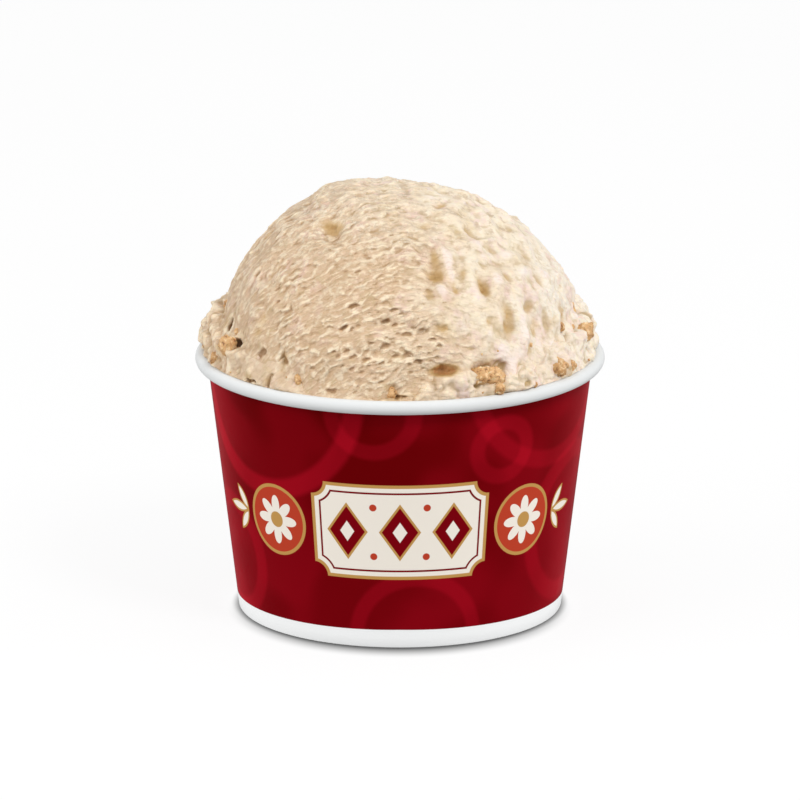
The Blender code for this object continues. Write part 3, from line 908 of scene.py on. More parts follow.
def pit_depth(directions, grid):
    """Depth of the pits at each point, greatest under their upper edge."""
    depth = np.zeros(len(directions))
    for azimuth, elevation, length, width, deepest in torn_pits():
        centre = directions_of(azimuth, elevation)
        near = np.nonzero(directions @ centre > math.cos(2.2 * length / DOME_RADIUS))[0]
        off = grid[near] - scrape_grid(centre)
        along = np.hypot(off[:, 1], off[:, 2])
        along = np.sqrt(np.maximum(along ** 2 - off[:, 0] ** 2 * 0.5, 0.0))
        away = np.hypot(off[:, 0] / width, along / length) * 2.0
        steep = 0.62 + 0.38 * np.clip(2.0 * off[:, 0] / width, -1.0, 1.0)
        depth[near] = np.maximum(depth[near], deepest * steep * (1.0 - smooth_step(0.45, 1.1, away)))
    return depth


SOCKET_DEPTH, SOCKET_WIDTH = 0.18, 0.6


def crumb_sockets(directions):
    """Dents that the larger crumbs sit in."""
    depth = np.zeros(len(directions))
    for azimuth, elevation, length in crumb_places:
        centre = directions_of(azimuth, elevation)
        away = np.arccos(np.clip(directions @ centre, -1.0, 1.0)) * DOME_RADIUS / length
        depth = np.maximum(depth, SOCKET_DEPTH * length * np.exp(-((away / SOCKET_WIDTH) ** 4)))
    return depth


# %% All the fine relief
LEAN = 0.45
FOLD_HEIGHT, FOLD_SIZES = 0.8, np.array((2.7, 2.7, 5.0))
# Each smeared area: azimuth and elevation in degrees, width and height in mm, and how smooth.
SMOOTH_AREAS = (
    (-146.0, 14.0, 30.0, 20.0, 1.0), (-166.0, 34.0, 22.0, 26.0, 0.6), (-112.0, 8.0, 30.0, 9.0, 0.8),
    (-104.0, 26.0, 13.0, 6.0, 0.8),
)


def fine_relief(directions, angles, cream):
    """Fine height in mm, how far it leans over in mm, the depth of pits, and the soft folds in it."""
    points = directions * DOME_RADIUS
    grid = scrape_grid(directions)
    patches = 0.6 + 0.4 * smooth_step(-0.6, 0.3, noise_at(points, 7.0, 4.0))
    smooth = np.clip(soft_spots(SMOOTH_AREAS, *angles), 0.0, 1.0)
    scraped = (1.0 - 0.62 * cream) * (1.0 - 0.72 * smooth)
    scales = stroke_relief(grid, points) * patches * scraped
    holes = front_holes(DOME_RADIUS, directions, angles)
    pits = np.maximum(pit_depth(directions, grid) * (1.0 - 0.6 * cream), holes)
    sockets = crumb_sockets(directions)
    folds = noise_at(points, FOLD_SIZES, 8.0)
    folds = folds * cream * (0.35 + 0.65 * smooth_step(-0.5, 0.5, noise_at(points, 11.0, 8.5)))
    folds = FOLD_HEIGHT * folds + front_folds(angles)
    lumps = noise_at(points, 3.6, 6.0)
    beads = noise_at(points, 1.5, 9.0)
    dimples = abs(noise_at(points, 1.15, 10.0)) * cream
    top = smooth_step(0.72, 0.95, directions[:, 2])
    soft = (0.16 + 0.2 * smooth + 0.3 * top) * lumps
    height = scales + folds + soft + (0.10 + 0.08 * cream) * beads
    height += 0.30 * dimples - pits - sockets
    return height, LEAN * (scales - pits), pits + 0.4 * sockets, folds


print(sum(1 for _ in torn_pits()), "small pits")

# %% [markdown]
# ## The dome
# A ball made from an icosahedron has evenly spread points, so no pole shows at
# the top. Each edge is cut into 146 parts, which puts the points 0.35 mm apart.
# The torn scales in front are the finest of all, so a map that keeps angles
# draws the points together there, and lets them spread a little at the back.
# The part below the collar is cut away and its edge is drawn down inside the
# cup, which closes the solid.

# %% Dome points
GATHER_TOWARDS = unit((0.0, -0.88, 0.47))
GATHER = 1.32
SOFTNESS = 0.5


def ball_points(parts):
    """Directions and triangles of an icosahedron with each edge in that many parts."""
    bm = bmesh.new()
    bmesh.ops.create_icosphere(bm, subdivisions=1, radius=1.0)
    bmesh.ops.subdivide_edges(bm, edges=list(bm.edges), cuts=parts - 1, use_grid_fill=True)
    mesh = bpy.data.meshes.new("ball")
    bm.to_mesh(mesh)
    bm.free()
    points = np.empty(len(mesh.vertices) * 3)
    mesh.vertices.foreach_get("co", points)
    corners = np.empty(len(mesh.loops), dtype=np.int64)
    mesh.loops.foreach_get("vertex_index", corners)
    bpy.data.meshes.remove(mesh)
    points = points.reshape(-1, 3)
    return points / np.linalg.norm(points, axis=1)[:, None], corners.reshape(-1, 3)


def gathered(directions):
    """Moves directions together towards the front, each along its own great circle."""
    cosine = np.clip(directions @ GATHER_TOWARDS, -1.0, 1.0)
    off = directions - cosine[:, None] * GATHER_TOWARDS
    sine = np.maximum(np.linalg.norm(off, axis=1), 1e-9)
    half = sine / np.maximum(1.0 + cosine, 1e-9) / GATHER
    scale = 1.0 / (1.0 + half * half)
    ahead = ((1.0 - half * half) * scale)[:, None] * GATHER_TOWARDS
    return ahead + (2.0 * half * scale / sine)[:, None] * off


CUT_HEIGHT = math.sin(math.radians(6.0))
EDGE_PARTS = 146
sphere, triangles = ball_points(EDGE_PARTS)
sphere = gathered(sphere)
kept = (sphere[triangles][:, :, 2] > CUT_HEIGHT).all(axis=1)
triangles = triangles[kept]
used = np.unique(triangles)
renumber = np.full(len(sphere), -1)
renumber[used] = np.arange(len(used))
sphere, triangles = sphere[used], renumber[triangles]
azimuths = np.arctan2(sphere[:, 1], sphere[:, 0])
elevations = np.arcsin(np.clip(sphere[:, 2], -1.0, 1.0))
print(len(sphere), "points on the dome,", len(triangles), "triangles")

# %% Dome surface
def leaned(directions, reach, lean):
    """Points at that reach, moved over towards the scrape axis by lean."""
    along = SCRAPE_AXIS - directions * (directions @ SCRAPE_AXIS)[:, None]
    along /= np.maximum(np.linalg.norm(along, axis=1), 1e-6)[:, None]
    return DOME_CENTRE + directions * reach[:, None] + along * lean[:, None]


def drawn_in(points, widest):
    """Keeps points inside a cylinder, so that nothing passes the rim."""
    radius = np.hypot(points[:, 0], points[:, 1])
    share = np.minimum(1.0, widest / np.maximum(radius, 1e-6))
    return np.stack([points[:, 0] * share, points[:, 1] * share, points[:, 2]], -1)


def averaged(values, faces, rounds):
    """Each point's value, evened out that many times with those of the points next to it."""
    faces = np.asarray(faces)
    sides = np.concatenate([faces[:, [i, (i + 1) % faces.shape[1]]] for i in range(faces.shape[1])])
    count = np.bincount(sides.ravel(), minlength=len(values))
    for _ in range(rounds):
        total = np.bincount(sides[:, 0], values[sides[:, 1]], len(values))
        total += np.bincount(sides[:, 1], values[sides[:, 0]], len(values))
        values = total / np.maximum(count, 1)
    return values


cream = cream_share(sphere)
broad = dome_reach(sphere, azimuths, elevations, cream)
pale = pale_share(sphere)
height, lean, pits, folds = fine_relief(sphere, (azimuths, elevations), pale)
height = (1.0 - SOFTNESS) * height + SOFTNESS * averaged(height, triangles, 2)
lean = averaged(lean, triangles, 1)
dome_points = drawn_in(leaned(sphere, broad + height, lean), WIDEST_RADIUS)
print("fine relief from", height.min().round(2), "to", height.max().round(2), "mm")

# %% [markdown]
# ## The ice cream's finish
# Ice cream is mostly air, ice and fat, so light enters it and comes out a
# little way off. Subsurface scattering with a short radius gives that softness
# without losing the small relief. Its tan comes from caramel, which lies
# unevenly: the scraped side is tan, the other side is nearly cream, and spots
# near a crumb are amber. These are numbers stored on each point. Light and shade
# are painted as well: painted shade in sunk parts, pits, fold furrows and torn
# hollows, and on most amber spots in front, which lie in the furrows; painted
# highlights on raised edges and fold ridges; painted shade low down, painted
# light at the right, and grey patches and pale flecks at the top. The finest
# scales, too small for the mesh, are a bump made in the same way as the torn
# scales.

# %% Ice cream colours
TAN = srgb(219, 188, 155)
TAN_DEEP = srgb(208, 177, 142)
TAN_PINK = srgb(223, 189, 168)
# Painted shade: the tan is darker low down on the scoop.
TAN_LOW_SHADE = srgb(204, 172, 136)
CREAM = srgb(246, 233, 212)
# Painted light: the cream is paler at the right.
CREAM_RIGHT_LIGHT = srgb(249, 240, 227)
# Painted shade: the cream is darker low down, except at the far right.
CREAM_LOW_SHADE = srgb(237, 214, 190)
CREAM_PINK = srgb(241, 216, 206)
CREAM_WARM = srgb(228, 208, 174)
# Painted highlight on raised edges and on the tops of the finest scales.
PALE_EDGE_HIGHLIGHT = srgb(252, 234, 204)
PALE_VEIN = srgb(244, 228, 200)
# Painted shade in the sunk parts of the relief. The second of these is also a random darker mottle in the
# cream.
HOLLOW_TAN_SHADE = srgb(176, 140, 102)
CREAM_MOTTLE_AND_HOLLOW_SHADE = srgb(200, 176, 132)
# Painted shade in the pits on the cream side.
PIT_SHADE_OCHRE = srgb(176, 144, 88)
# Painted shade in the furrows of the soft folds.
FURROW_SHADE = srgb(204, 174, 130)
# Painted shade and light at the top: grey patches and pale flecks stand in for the shading of its lumps.
TOP_GREY_SHADE = srgb(206, 184, 158)
TOP_PALE_LIGHT = srgb(248, 236, 214)
# Painted shade in the pits and in the deepest holes.
PIT_SHADE_BROWN = srgb(138, 100, 62)
HOLE_SHADE_BROWN = srgb(92, 62, 30)
AMBER = srgb(204, 168, 112)
AMBER_DEEP = srgb(168, 126, 68)
CARAMEL = srgb(184, 132, 80)
# Painted highlight on the ridges of the soft folds.
RIDGE_PINK_HIGHLIGHT = srgb(250, 234, 228)
# Each amber spot: place in the picture in pixels, width and height in mm, and strength. Most in front lie
# on the furrows and are painted shade there; the others are caramel stains.
AMBER_STAIN_AND_SHADE_SPOTS = (
    (435, 257, 2.0, 5.4, 0.7), (438, 273, 2.8, 3.4, 1.0), (485, 287, 2.2, 4.6, 0.8),
    (457, 249, 1.7, 2.8, 0.5), (444, 328, 3.6, 2.8, 0.9), (332, 227, 6.4, 3.2, 1.3),
    (443, 192, 4.4, 2.6, 0.8), (462, 192, 3.6, 2.0, 0.6), (441, 207, 4.2, 2.2, 0.8),
    (510, 312, 1.8, 3.8, 0.5), (509, 328, 4.2, 2.4, 0.5), (541, 285, 2.0, 2.8, 0.5),
    (487, 323, 1.8, 2.2, 0.7), (525, 258, 3.6, 3.0, 0.55), (463, 274, 2.0, 3.0, 0.6),
    (445, 370, 4.8, 2.3, 4.5), (486, 376, 8.0, 5.0, 0.8), (496, 388, 3.6, 2.6, 0.9),
    (561, 370, 4.6, 5.0, 0.8), (581, 302, 3.0, 4.0, 0.6), (586, 328, 5.0, 4.0, 0.8),
    (226, 344, 6.0, 5.0, 1.1), (223, 318, 2.6, 7.0, 0.8), (283, 361, 3.2, 5.0, 0.7),
    (456, 291, 1.6, 3.0, 0.6), (506, 278, 1.6, 2.8, 0.7), (412, 395, 3.4, 1.8, 0.6),
    (396, 397, 4.6, 2.4, 0.7), (262, 316, 3.0, 5.0, 0.6), (257, 332, 2.4, 4.4, 0.5),
    (429, 294, 2.0, 3.4, 0.5), (537, 331, 1.8, 2.8, 0.5), (530, 305, 2.4, 2.2, 0.5),
    (468, 229, 2.2, 3.2, 0.6), (388, 386, 4.4, 2.6, 0.6), (424, 226, 4.0, 2.6, 0.5),
    (251, 376, 4.4, 3.4, 0.8), (270, 382, 2.6, 3.4, 0.7), (529, 347, 1.6, 3.0, 0.6),
    (362, 201, 4.0, 2.4, 0.5),
)


def amber_stains_and_shade():
    """The amber spots in front, many of them painted shade in the furrows, then caramel stains round the
    rest of the scoop.
    """
    for x, y, width, tall, strength in AMBER_STAIN_AND_SHADE_SPOTS:
        yield *seen_at(x, y), width, tall, strength
    draw = random.Random(17)
    for azimuth, elevation, length in spread_crumbs(90, 1.4, 3.6, 19, highest=66.0, lowest=9.0):
        tall = length * draw.uniform(0.7, 1.8)
        yield math.degrees(azimuth), math.degrees(elevation), length, tall, draw.uniform(0.35, 0.9)


# %% Ice cream finish
def point_value(tree, name, output="Fac"):
    return node_field(tree, "Attribute", {}, output, attribute_name=name)


FINEST_SCALE = (1.0 / 0.75, 1.0 / 1.7, 1.0 / 1.7)
FINEST_BEND = (1.8, 1.8, 1.8)


def finest_scales(tree, place):
    """Height of scales under a millimetre across, from about 0 to 1."""
    place = node_field(tree, "Mapping", {"Vector": place, "Scale": FINEST_SCALE})
    bend = node_field(tree, "TexNoise", {"Vector": place, "Scale": 0.55, "Detail": 2.0}, "Color")
    bent = node_field(tree, "VectorMath", {0: bend, 1: FINEST_BEND, 2: place}, operation="MULTIPLY_ADD")
    middle = node_field(tree, "TexVoronoi", {"Vector": bent, "Scale": 1.0}, "Position")
    own = Field(tree, middle.socket.node.outputs["Color"])
    here, centre, strength = (split(field)[0] for field in (bent, middle, own))
    return (centre - here + 0.5).clamped() * (strength * 0.7 + 0.3)


def ice_cream_finish():
    made, tree, place, x, _, z = new_finish("ice_cream")
    cream_here, raised, fold, stain_and_fold_shade, pit = (
        point_value(tree, name) for name in ("cream", "raised", "fold", "amber", "pit")
    )
    finest = finest_scales(tree, point_value(tree, "scrape", "Vector"))
    cloud = noise_field(tree, place, 6.5, detail=4.0, roughness=0.6)
    blush = noise_field(tree, place, 4.2, detail=3.0, roughness=0.55, stretch=(1.0, 1.0, 0.6))
    vein = noise_field(tree, place, 2.4, detail=3.0, roughness=0.6)
    fleck = noise_field(tree, place, 1.5, detail=3.0, roughness=0.65)
    grain = noise_field(tree, place, 0.5, detail=4.0, roughness=0.7)
    wet = noise_field(tree, place, 1.2, detail=3.0)
    top = z.step(85.0, 95.0)
    scraped = cream_here * -0.65 + 1.0
    # Painted highlight where the surface stands above its neighbours, and on the tops of the finest
    # scales.
    edge = (raised.step(0.01, 0.20) * 0.75 + finest.step(0.45, 0.9) * 0.35) * scraped
    # Painted shade where the surface lies below its neighbours.
    cavity_shade = raised.step(-0.02, -0.24) * 0.85 + finest.step(0.16, 0.0) * 0.25
    # Amber: caramel stains, and painted shade in the front furrows and the torn hollows.
    amber = stain_and_fold_shade * (fleck * 1.6 + cloud * 0.6 - 0.1)
    tan = layered(tree, TAN, [
        (cloud.step(0.38, 0.68), TAN_DEEP),
        (blush.step(0.52, 0.68) * 0.8, TAN_PINK),
        # Painted shade low down.
        (z.step(82.0, 66.0) * 0.6, TAN_LOW_SHADE),
    ])
    pale = layered(tree, CREAM, [
        (cloud.step(0.46, 0.72), CREAM_WARM),
        # Painted light: paler at the right.
        (x.step(20.0, 38.0) * 0.7, CREAM_RIGHT_LIGHT),
        # Painted shade low down, except at the far right.
        (z.step(78.0, 64.0) * x.step(42.0, 34.0) * 0.55, CREAM_LOW_SHADE),
        (blush.step(0.50, 0.64) * 0.8, CREAM_PINK),
    ])
    colour = layered(tree, mixed(tree, cream_here, tan, pale), [
        (vein.step(0.50, 0.66) * 0.6, PALE_VEIN),
        (vein.step(0.46, 0.32) * 0.45, CREAM_MOTTLE_AND_HOLLOW_SHADE),
        # Painted shade and light at the top.
        (vein.step(0.49, 0.37) * top * 0.8, TOP_GREY_SHADE),
        (fleck.step(0.52, 0.64) * top * 0.6, TOP_PALE_LIGHT),
        # Painted highlight on raised edges.
        (edge, PALE_EDGE_HIGHLIGHT),
        # Painted highlight on fold ridges and painted shade in fold furrows.
        (fold.step(0.1, 0.6) * 0.6, RIDGE_PINK_HIGHLIGHT),
        (fold.step(-0.08, -0.75) * 0.6, FURROW_SHADE),
        # Painted shade in the sunk parts.
        (cavity_shade * (cream_here * -0.45 + 1.0), mixed(tree, cream_here, HOLLOW_TAN_SHADE, CREAM_MOTTLE_AND_HOLLOW_SHADE)),
        (amber.step(0.1, 1.0) * 0.8, AMBER),
        (amber.step(0.7, 1.5) * 0.7, AMBER_DEEP),
        # Painted shade in pits, darkest in the deepest holes.
        (pit.step(0.15, 1.1) * 0.8, mixed(tree, cream_here.step(0.35, 0.75), PIT_SHADE_BROWN, PIT_SHADE_OCHRE)),
        (pit.step(1.2, 2.0), HOLE_SHADE_BROWN),
        (amber.step(1.5, 2.2) * 0.9, CARAMEL),
    ])
    return finished(made, {
        "Base Color": colour,
        "Subsurface Weight": 0.15,
        "Subsurface Radius": (1.0, 0.7, 0.45),
        "Subsurface Scale": 0.0006,
        "Roughness": wet * 0.25 + 0.34,
        "Specular IOR Level": 0.45,
        "Normal": bump(tree, finest * scraped * 0.9 + grain * 0.7, 0.34),
    })


scoop_finish = ice_cream_finish()
print("nodes in the ice cream finish:", len(scoop_finish.node_tree.nodes))

# %% Dome piece
SKIRT_TOP = (41.5, 56.0)
SKIRT_MIDDLE = 30.0
FILLING_FOOT = BASE_TOP + CLEARANCE


def closed_below(points, faces):
    """Draws the open edge down inside the cup and closes it, as lists."""
    sides = np.sort(np.concatenate([faces[:, [0, 1]], faces[:, [1, 2]], faces[:, [2, 0]]]), axis=1)
    pairs, counts = np.unique(sides, axis=0, return_counts=True)
    open_sides = {tuple(pair) for pair in pairs[counts == 1].tolist()}
    edge = sorted({i for pair in open_sides for i in pair})
    angle = np.arctan2(points[edge, 1], points[edge, 0])
    levels = [SKIRT_TOP] + [(wall_inside(z) - CLEARANCE, z) for z in (SKIRT_MIDDLE, FILLING_FOOT)]
    added = [ring_of(*level, angle) for level in levels] + [np.array([[0.0, 0.0, FILLING_FOOT]])]
    start = len(points)
    row = {vertex: k for k, vertex in enumerate(edge)}
    extra = []
    for triangle in faces.tolist():
        for a, b in zip(triangle, triangle[1:] + triangle[:1]):
            if (min(a, b), max(a, b)) not in open_sides:
                continue
            upper = (a, b)
            for level in range(len(levels)):
                lower = (start + level * len(edge) + row[a], start + level * len(edge) + row[b])
                extra.append((upper[1], upper[0], lower[0], lower[1]))
                upper = lower
            extra.append((upper[1], upper[0], start + len(levels) * len(edge)))
    return np.concatenate([points, *added]), faces.tolist() + extra


def store(made, name, values):
    """Puts one number, or one vector, on each point of a piece. Points past the list get 0."""
    vector = np.ndim(values) == 2
    layer = made.data.attributes.new(name, "FLOAT_VECTOR" if vector else "FLOAT", "POINT")
    full = np.zeros((len(made.data.vertices), 3) if vector else len(made.data.vertices), dtype=np.float32)
    full[:len(values)] = values
    layer.data.foreach_set("vector" if vector else "value", full.ravel())


RAISED_ROUNDS = 12
points, faces = closed_below(dome_points, triangles)
dome = mesh_piece("scoop_dome", points, faces, scoop_finish, "ice_cream")
raised = height - averaged(height, triangles, RAISED_ROUNDS)
stains_and_fold_shade = list(amber_stains_and_shade())
# Painted shade: the torn hollows on the paler side are tinted amber.
hollows = soft_spots(HOLLOWS[BROAD_HOLLOWS:], azimuths, elevations) * pale
top_share = smooth_step(0.72, 0.97, sphere[:, 2] + 0.3 * np.minimum(sphere[:, 0], 0.0))
store(dome, "cream", np.clip(pale + 0.5 * top_share, 0.0, 1.0))
store(dome, "amber", soft_spots(stains_and_fold_shade, azimuths, elevations) + 0.6 * hollows)
store(dome, "pit", pits)
store(dome, "raised", raised)
store(dome, "fold", folds)
store(dome, "scrape", scrape_grid(sphere))
print("raised from", raised.min().round(2), "to", raised.max().round(2), "mm")

# %% [markdown]
# ## The collar
# Where the scoop was pressed home, ice cream spread over the rim's inner edge
# and tore off in crumbly lumps at the sides, and in a smooth smear at the front
# left. It overhangs the dome's foot with a dark crevice above it. It is a
# separate ring here, a closed loop of points carried round the cup, so that
# the crevice can be a real gap.

# %% Collar section
LIP_ELEVATION = math.radians(7.5)
COLLAR_ROUNDING = math.radians(4.5)
LIP_GAP = 0.04
BURIED = (40.5, 58.0)
BURIED_STEPS = ((0.2, 2.2), (1.5, 3.4), (4.0, 4.0))
LIP_STEPS = (0.0, 0.3, 0.6, 0.85)
COLUMNS = 900
OUTER_ROWS = 44
LIP_TURN, LIP_SWING, LIP_RAG, LIP_FRAY = (math.radians(turn) for turn in (118.0, -10.0, 24.0, 5.0))
SMEAR_AT, SMEAR_HALF_WIDTH = -119.0, 26.0
SWELL, SWELL_SWING, SMEAR_THINNING, TUCK = 1.5, 0.2, 0.45, 0.4
BULGE = (0.7, 5.5)
TOP_WANDER, TOP_FRAY = (math.radians(1.5), 3.4), (math.radians(0.8), 1.4)
SHOULDER_START, SMEAR_SHOULDER = 0.72, 0.5
SMOOTHEST = 0.12


def lip_points(azimuth, turn):
    """Where the ice cream lies on the curled rim, as that turn round the curl."""
    r = CURL_CENTRE[0] + (CURL_RADIUS + LIP_GAP) * np.cos(turn)
    z = CURL_CENTRE[1] + (CURL_RADIUS + LIP_GAP) * np.sin(turn)
    return ring_of(r, z, azimuth)


def lip_turn(azimuth):
    ring = ring_of(1.0, 0.3, azimuth)
    ragged = noise_at(ring, 0.25) / NOISE_GAIN
    fine = noise_at(ring, 0.03, 2.0)
    return LIP_TURN + LIP_SWING * np.cos(2.0 * azimuth) + LIP_RAG * ragged + LIP_FRAY * fine


def smear_share(azimuth):
    """1 where the collar is a smooth smear that runs into the dome."""
    return np.exp(-(((np.degrees(azimuth) - SMEAR_AT) / SMEAR_HALF_WIDTH) ** 4))


def torn_share(azimuth):
    """1 where the collar is torn and lumpy, near 0 where it is a smooth smear."""
    smooth = smear_share(azimuth)
    ring = ring_of(1.0, 0.0, azimuth)
    patches = smooth_step(-0.5, 0.2, noise_at(ring, 0.5, 11.0))
    return np.clip((0.55 + 0.45 * patches) * (1.0 - 0.8 * smooth), 0.0, 1.0)


def collar_rows(azimuth):
    """The rows of points of the collar's loop, from the buried inside round and back."""
    turn = lip_turn(azimuth)
    lip = lip_points(azimuth, turn)
    lip_offset = lip - DOME_CENTRE
    lip_reach = np.linalg.norm(lip_offset, axis=1)
    lip_direction = lip_offset / lip_reach[:, None]
    flat = directions_of(azimuth, np.full_like(azimuth, math.radians(12.0)))
    top = collar_top(azimuth, flat)[0]
    top = top + uneven(flat * DOME_RADIUS, TOP_WANDER, 12.0)
    top = top + uneven(flat * DOME_RADIUS, TOP_FRAY, 13.0)
    smear = smear_share(azimuth)
    swell = (SWELL + SWELL_SWING * np.cos(2.0 * azimuth)) * (1.0 - SMEAR_THINNING * smear)
    torn = torn_share(azimuth)
    rows = [lip_points(azimuth, math.pi + (turn - math.pi) * share) for share in LIP_STEPS]
    weights = [np.zeros_like(azimuth)] * len(rows)
    for i in range(OUTER_ROWS + 1):
        share = i / OUTER_ROWS
        elevation = LIP_ELEVATION + (top - LIP_ELEVATION) * share
        directions = directions_of(azimuth, elevation)
        cream_here = cream_share(directions)
        reach = dome_reach(directions, azimuth, elevation, cream_here)
        reach += swell + uneven(directions * DOME_RADIUS, BULGE, 5.0)
        t = np.clip((elevation - LIP_ELEVATION) / COLLAR_ROUNDING, 0.0, 1.0)
        round_over = np.sqrt(1.0 - (1.0 - t) ** 2)
        reach = lip_reach + (reach - lip_reach) * round_over
        soft = SHOULDER_START - SMEAR_SHOULDER * smear
        shoulder = np.clip((share - soft) / (1.0 - soft), 0.0, 1.0)
        steep = 1.0 - np.sqrt(1.0 - shoulder ** 2)
        gentle = shoulder * shoulder * (3.0 - 2.0 * shoulder)
        reach -= (steep + (gentle - steep) * smear) * (swell + TUCK)
        heading = lip_direction * (1.0 - t)[:, None] + directions * t[:, None]
        heading /= np.linalg.norm(heading, axis=1)[:, None]
        rows.append(DOME_CENTRE + heading * reach[:, None])
        weights.append(np.minimum(1.0, round_over * 1.3) * (SMOOTHEST + (1.0 - SMOOTHEST) * torn))
    for drop, back in BURIED_STEPS:
        elevation = top - math.radians(drop)
        directions = directions_of(azimuth, elevation)
        rows.append(DOME_CENTRE + directions * (DOME_RADIUS - back))
        weights.append(np.zeros_like(azimuth))
    rows.append(ring_of(*BURIED, azimuth))
    weights.append(np.zeros_like(azimuth))
    return rows, weights


# %% Collar relief
COLLAR_REACH = 45.5
TORN_LUMPS, TORN_KNOBS, TORN_GRAINS = 4.0, 1.9, 0.9
SHIFT, SHIFT_SIZE = 0.5, 2.4


def collar_pits():
    for azimuth, elevation, length in spread_crumbs(46, 1.2, 3.4, 23, highest=12.0, lowest=8.5):
        yield math.degrees(azimuth), math.degrees(elevation), length, 0.8 * length, 0.4 * length


def lumpy(points):
    """Height of torn ice cream, in rounded lumps with creases, and a sideways shift."""
    lumps = abs(noise_at(points, TORN_LUMPS, 14.0)) * 1.9 - 0.55
    knobs = abs(noise_at(points, TORN_KNOBS, 15.0)) * 1.7 - 0.5
    grains = noise_at(points, TORN_GRAINS, 16.0)
    shift = np.array([list(noise.noise_vector(p)) for p in (points / SHIFT_SIZE).tolist()])
    return 0.9 * lumps + 0.45 * knobs + 0.10 * grains, SHIFT * shift


def outward_and_angles(points):
    """Directions of points from the dome's centre, and their azimuths and elevations."""
    outward = points - DOME_CENTRE
    outward /= np.linalg.norm(outward, axis=1)[:, None]
    return outward, (np.arctan2(outward[:, 1], outward[:, 0]), np.arcsin(outward[:, 2]))


rows, weights = collar_rows(np.linspace(-math.pi, math.pi, COLUMNS, endpoint=False))
loop = np.stack(rows, 1).reshape(-1, 3)
weight = np.stack(weights, 1).reshape(-1)
outward, loop_angles = outward_and_angles(loop)
height, shift = lumpy(loop)
deep = soft_spots(list(collar_pits()), *loop_angles) + front_holes(COLLAR_REACH, outward, loop_angles)
deep = np.minimum(deep, DEEPEST_HOLE) * smooth_step(0.0, 0.3, weight)
relief = height * weight - deep
loop = drawn_in(loop + outward * relief[:, None] + shift * weight[:, None], WIDEST_RADIUS)
print("collar stands", round(float(np.hypot(loop[:, 0], loop[:, 1]).max()), 2), "mm from the axis")

# %% Collar piece
EVENED_ROUNDS = 30
faces = ring_faces(COLUMNS, len(rows))
collar = mesh_piece("scoop_collar", loop, faces, scoop_finish, "ice_cream")
outward, loop_angles = outward_and_angles(loop)
smear = 1.0 - torn_share(np.arctan2(loop[:, 1], loop[:, 0]))
cream = pale_share(outward) + 0.15 + 0.2 * smooth_step(0.4, 0.8, smear)
store(collar, "cream", np.clip(cream, 0.0, 1.0))
store(collar, "pit", deep)
store(collar, "raised", 0.6 * (relief - averaged(relief, faces, EVENED_ROUNDS)))
store(collar, "amber", soft_spots(stains_and_fold_shade, *loop_angles))
store(collar, "scrape", scrape_grid(outward))

# %% [markdown]
# ## The crumbs
# A toffee crumb breaks with rough faces and small bubbles. Each starts as a
# ball with few points, squashed and cut by a handful of planes, then roughened.
# It is set where a ray from outside meets the ice cream, and sunk into it by an
# eighth of its length, or by half where the picture shows only its top.

# %% Crumb finish
TOFFEE = srgb(225, 180, 126)
TOFFEE_DEEP = srgb(203, 154, 98)
TOFFEE_LIGHT = srgb(247, 217, 172)
TOFFEE_DARK = srgb(142, 92, 46)


def toffee_finish(name, dark):
    made, tree, place, *_ = new_finish(name)
    piece = noise_field(tree, place, 5.0, detail=1.0)
    grain = noise_field(tree, place, 1.3, detail=4.0, roughness=0.65)
    return finished(made, {
        "Base Color": layered(tree, TOFFEE, [
            (piece.step(0.36, 0.64), TOFFEE_DEEP),
            (grain.step(0.52, 0.64), TOFFEE_LIGHT),
            (grain.step(0.47, 0.34) * dark, TOFFEE_DARK),
        ]),
        "Subsurface Weight": 0.2,
        "Subsurface Radius": (1.0, 0.6, 0.3),
        "Subsurface Scale": 0.0006,
        "Roughness": grain * 0.3 + 0.3,
        "Normal": bump(tree, noise_field(tree, place, 0.4, detail=4.0, roughness=0.7), 0.22),
    })


crumb_finish = toffee_finish("toffee_crumb", 0.9)
bit_finish = toffee_finish("toffee_bit", 0.3)

# %% Ground for the crumbs
def ray_ground(pieces):
    """A tree to find where a ray meets the ice cream."""
    points, polygons, start = [], [], 0
    for piece in pieces:
        points += [v.co / MM for v in piece.data.vertices]
        polygons += [[start + i for i in polygon.vertices] for polygon in piece.data.polygons]
        start = len(points)
    return BVHTree.FromPolygons(points, polygons)


ground = ray_ground([dome, collar])
RAY_START = 70.0


def on_surface(azimuth, elevation):
    """Point and outward direction where the ice cream's surface lies in that direction."""
    direction = Vector(directions_of(azimuth, elevation))
    centre = Vector(DOME_CENTRE)
    return ground.ray_cast(centre + direction * RAY_START, -direction)[0], direction


# %% Crumb shapes
CRUMB_PLANES = 9
CRUMB_MARGIN = 0.2
CRUMB_HALF_SIZES = (0.5, 0.42, 0.36)


def crumb_shape(draw, length, rounds):
    """Points and faces of one broken crumb of that length in mm, about the origin."""
    bm = bmesh.new()
    bmesh.ops.create_icosphere(bm, subdivisions=rounds, radius=1.0)
    planes = [Vector([draw.gauss(0, 1) for _ in range(3)]).normalized() for _ in range(CRUMB_PLANES)]
    depths = [draw.uniform(0.72, 0.95) for _ in planes]
    seed = Vector([draw.uniform(0, 90) for _ in range(3)])
    turn = Euler([draw.uniform(0.0, 2.0 * math.pi) for _ in range(3)]).to_matrix()
    points = []
    for vert in bm.verts:
        point = vert.co.copy()
        for plane, depth in zip(planes, depths):
            over = point.dot(plane) - depth
            if over > 0.0:
                point -= plane * over * 0.85
        rough = 1.0 + 0.22 * noise.noise(point * 2.2 + seed) + 0.13 * noise.noise(point * 5.5 + seed)
        rough -= 0.16 * max(0.0, noise.noise(point * 4.0 - seed) - 0.15)
        points.append(turn @ Vector([c * s * rough * length for c, s in zip(point, CRUMB_HALF_SIZES)]))
    faces = [[v.index for v in face.verts] for face in bm.faces]
    bm.free()
    return points, faces


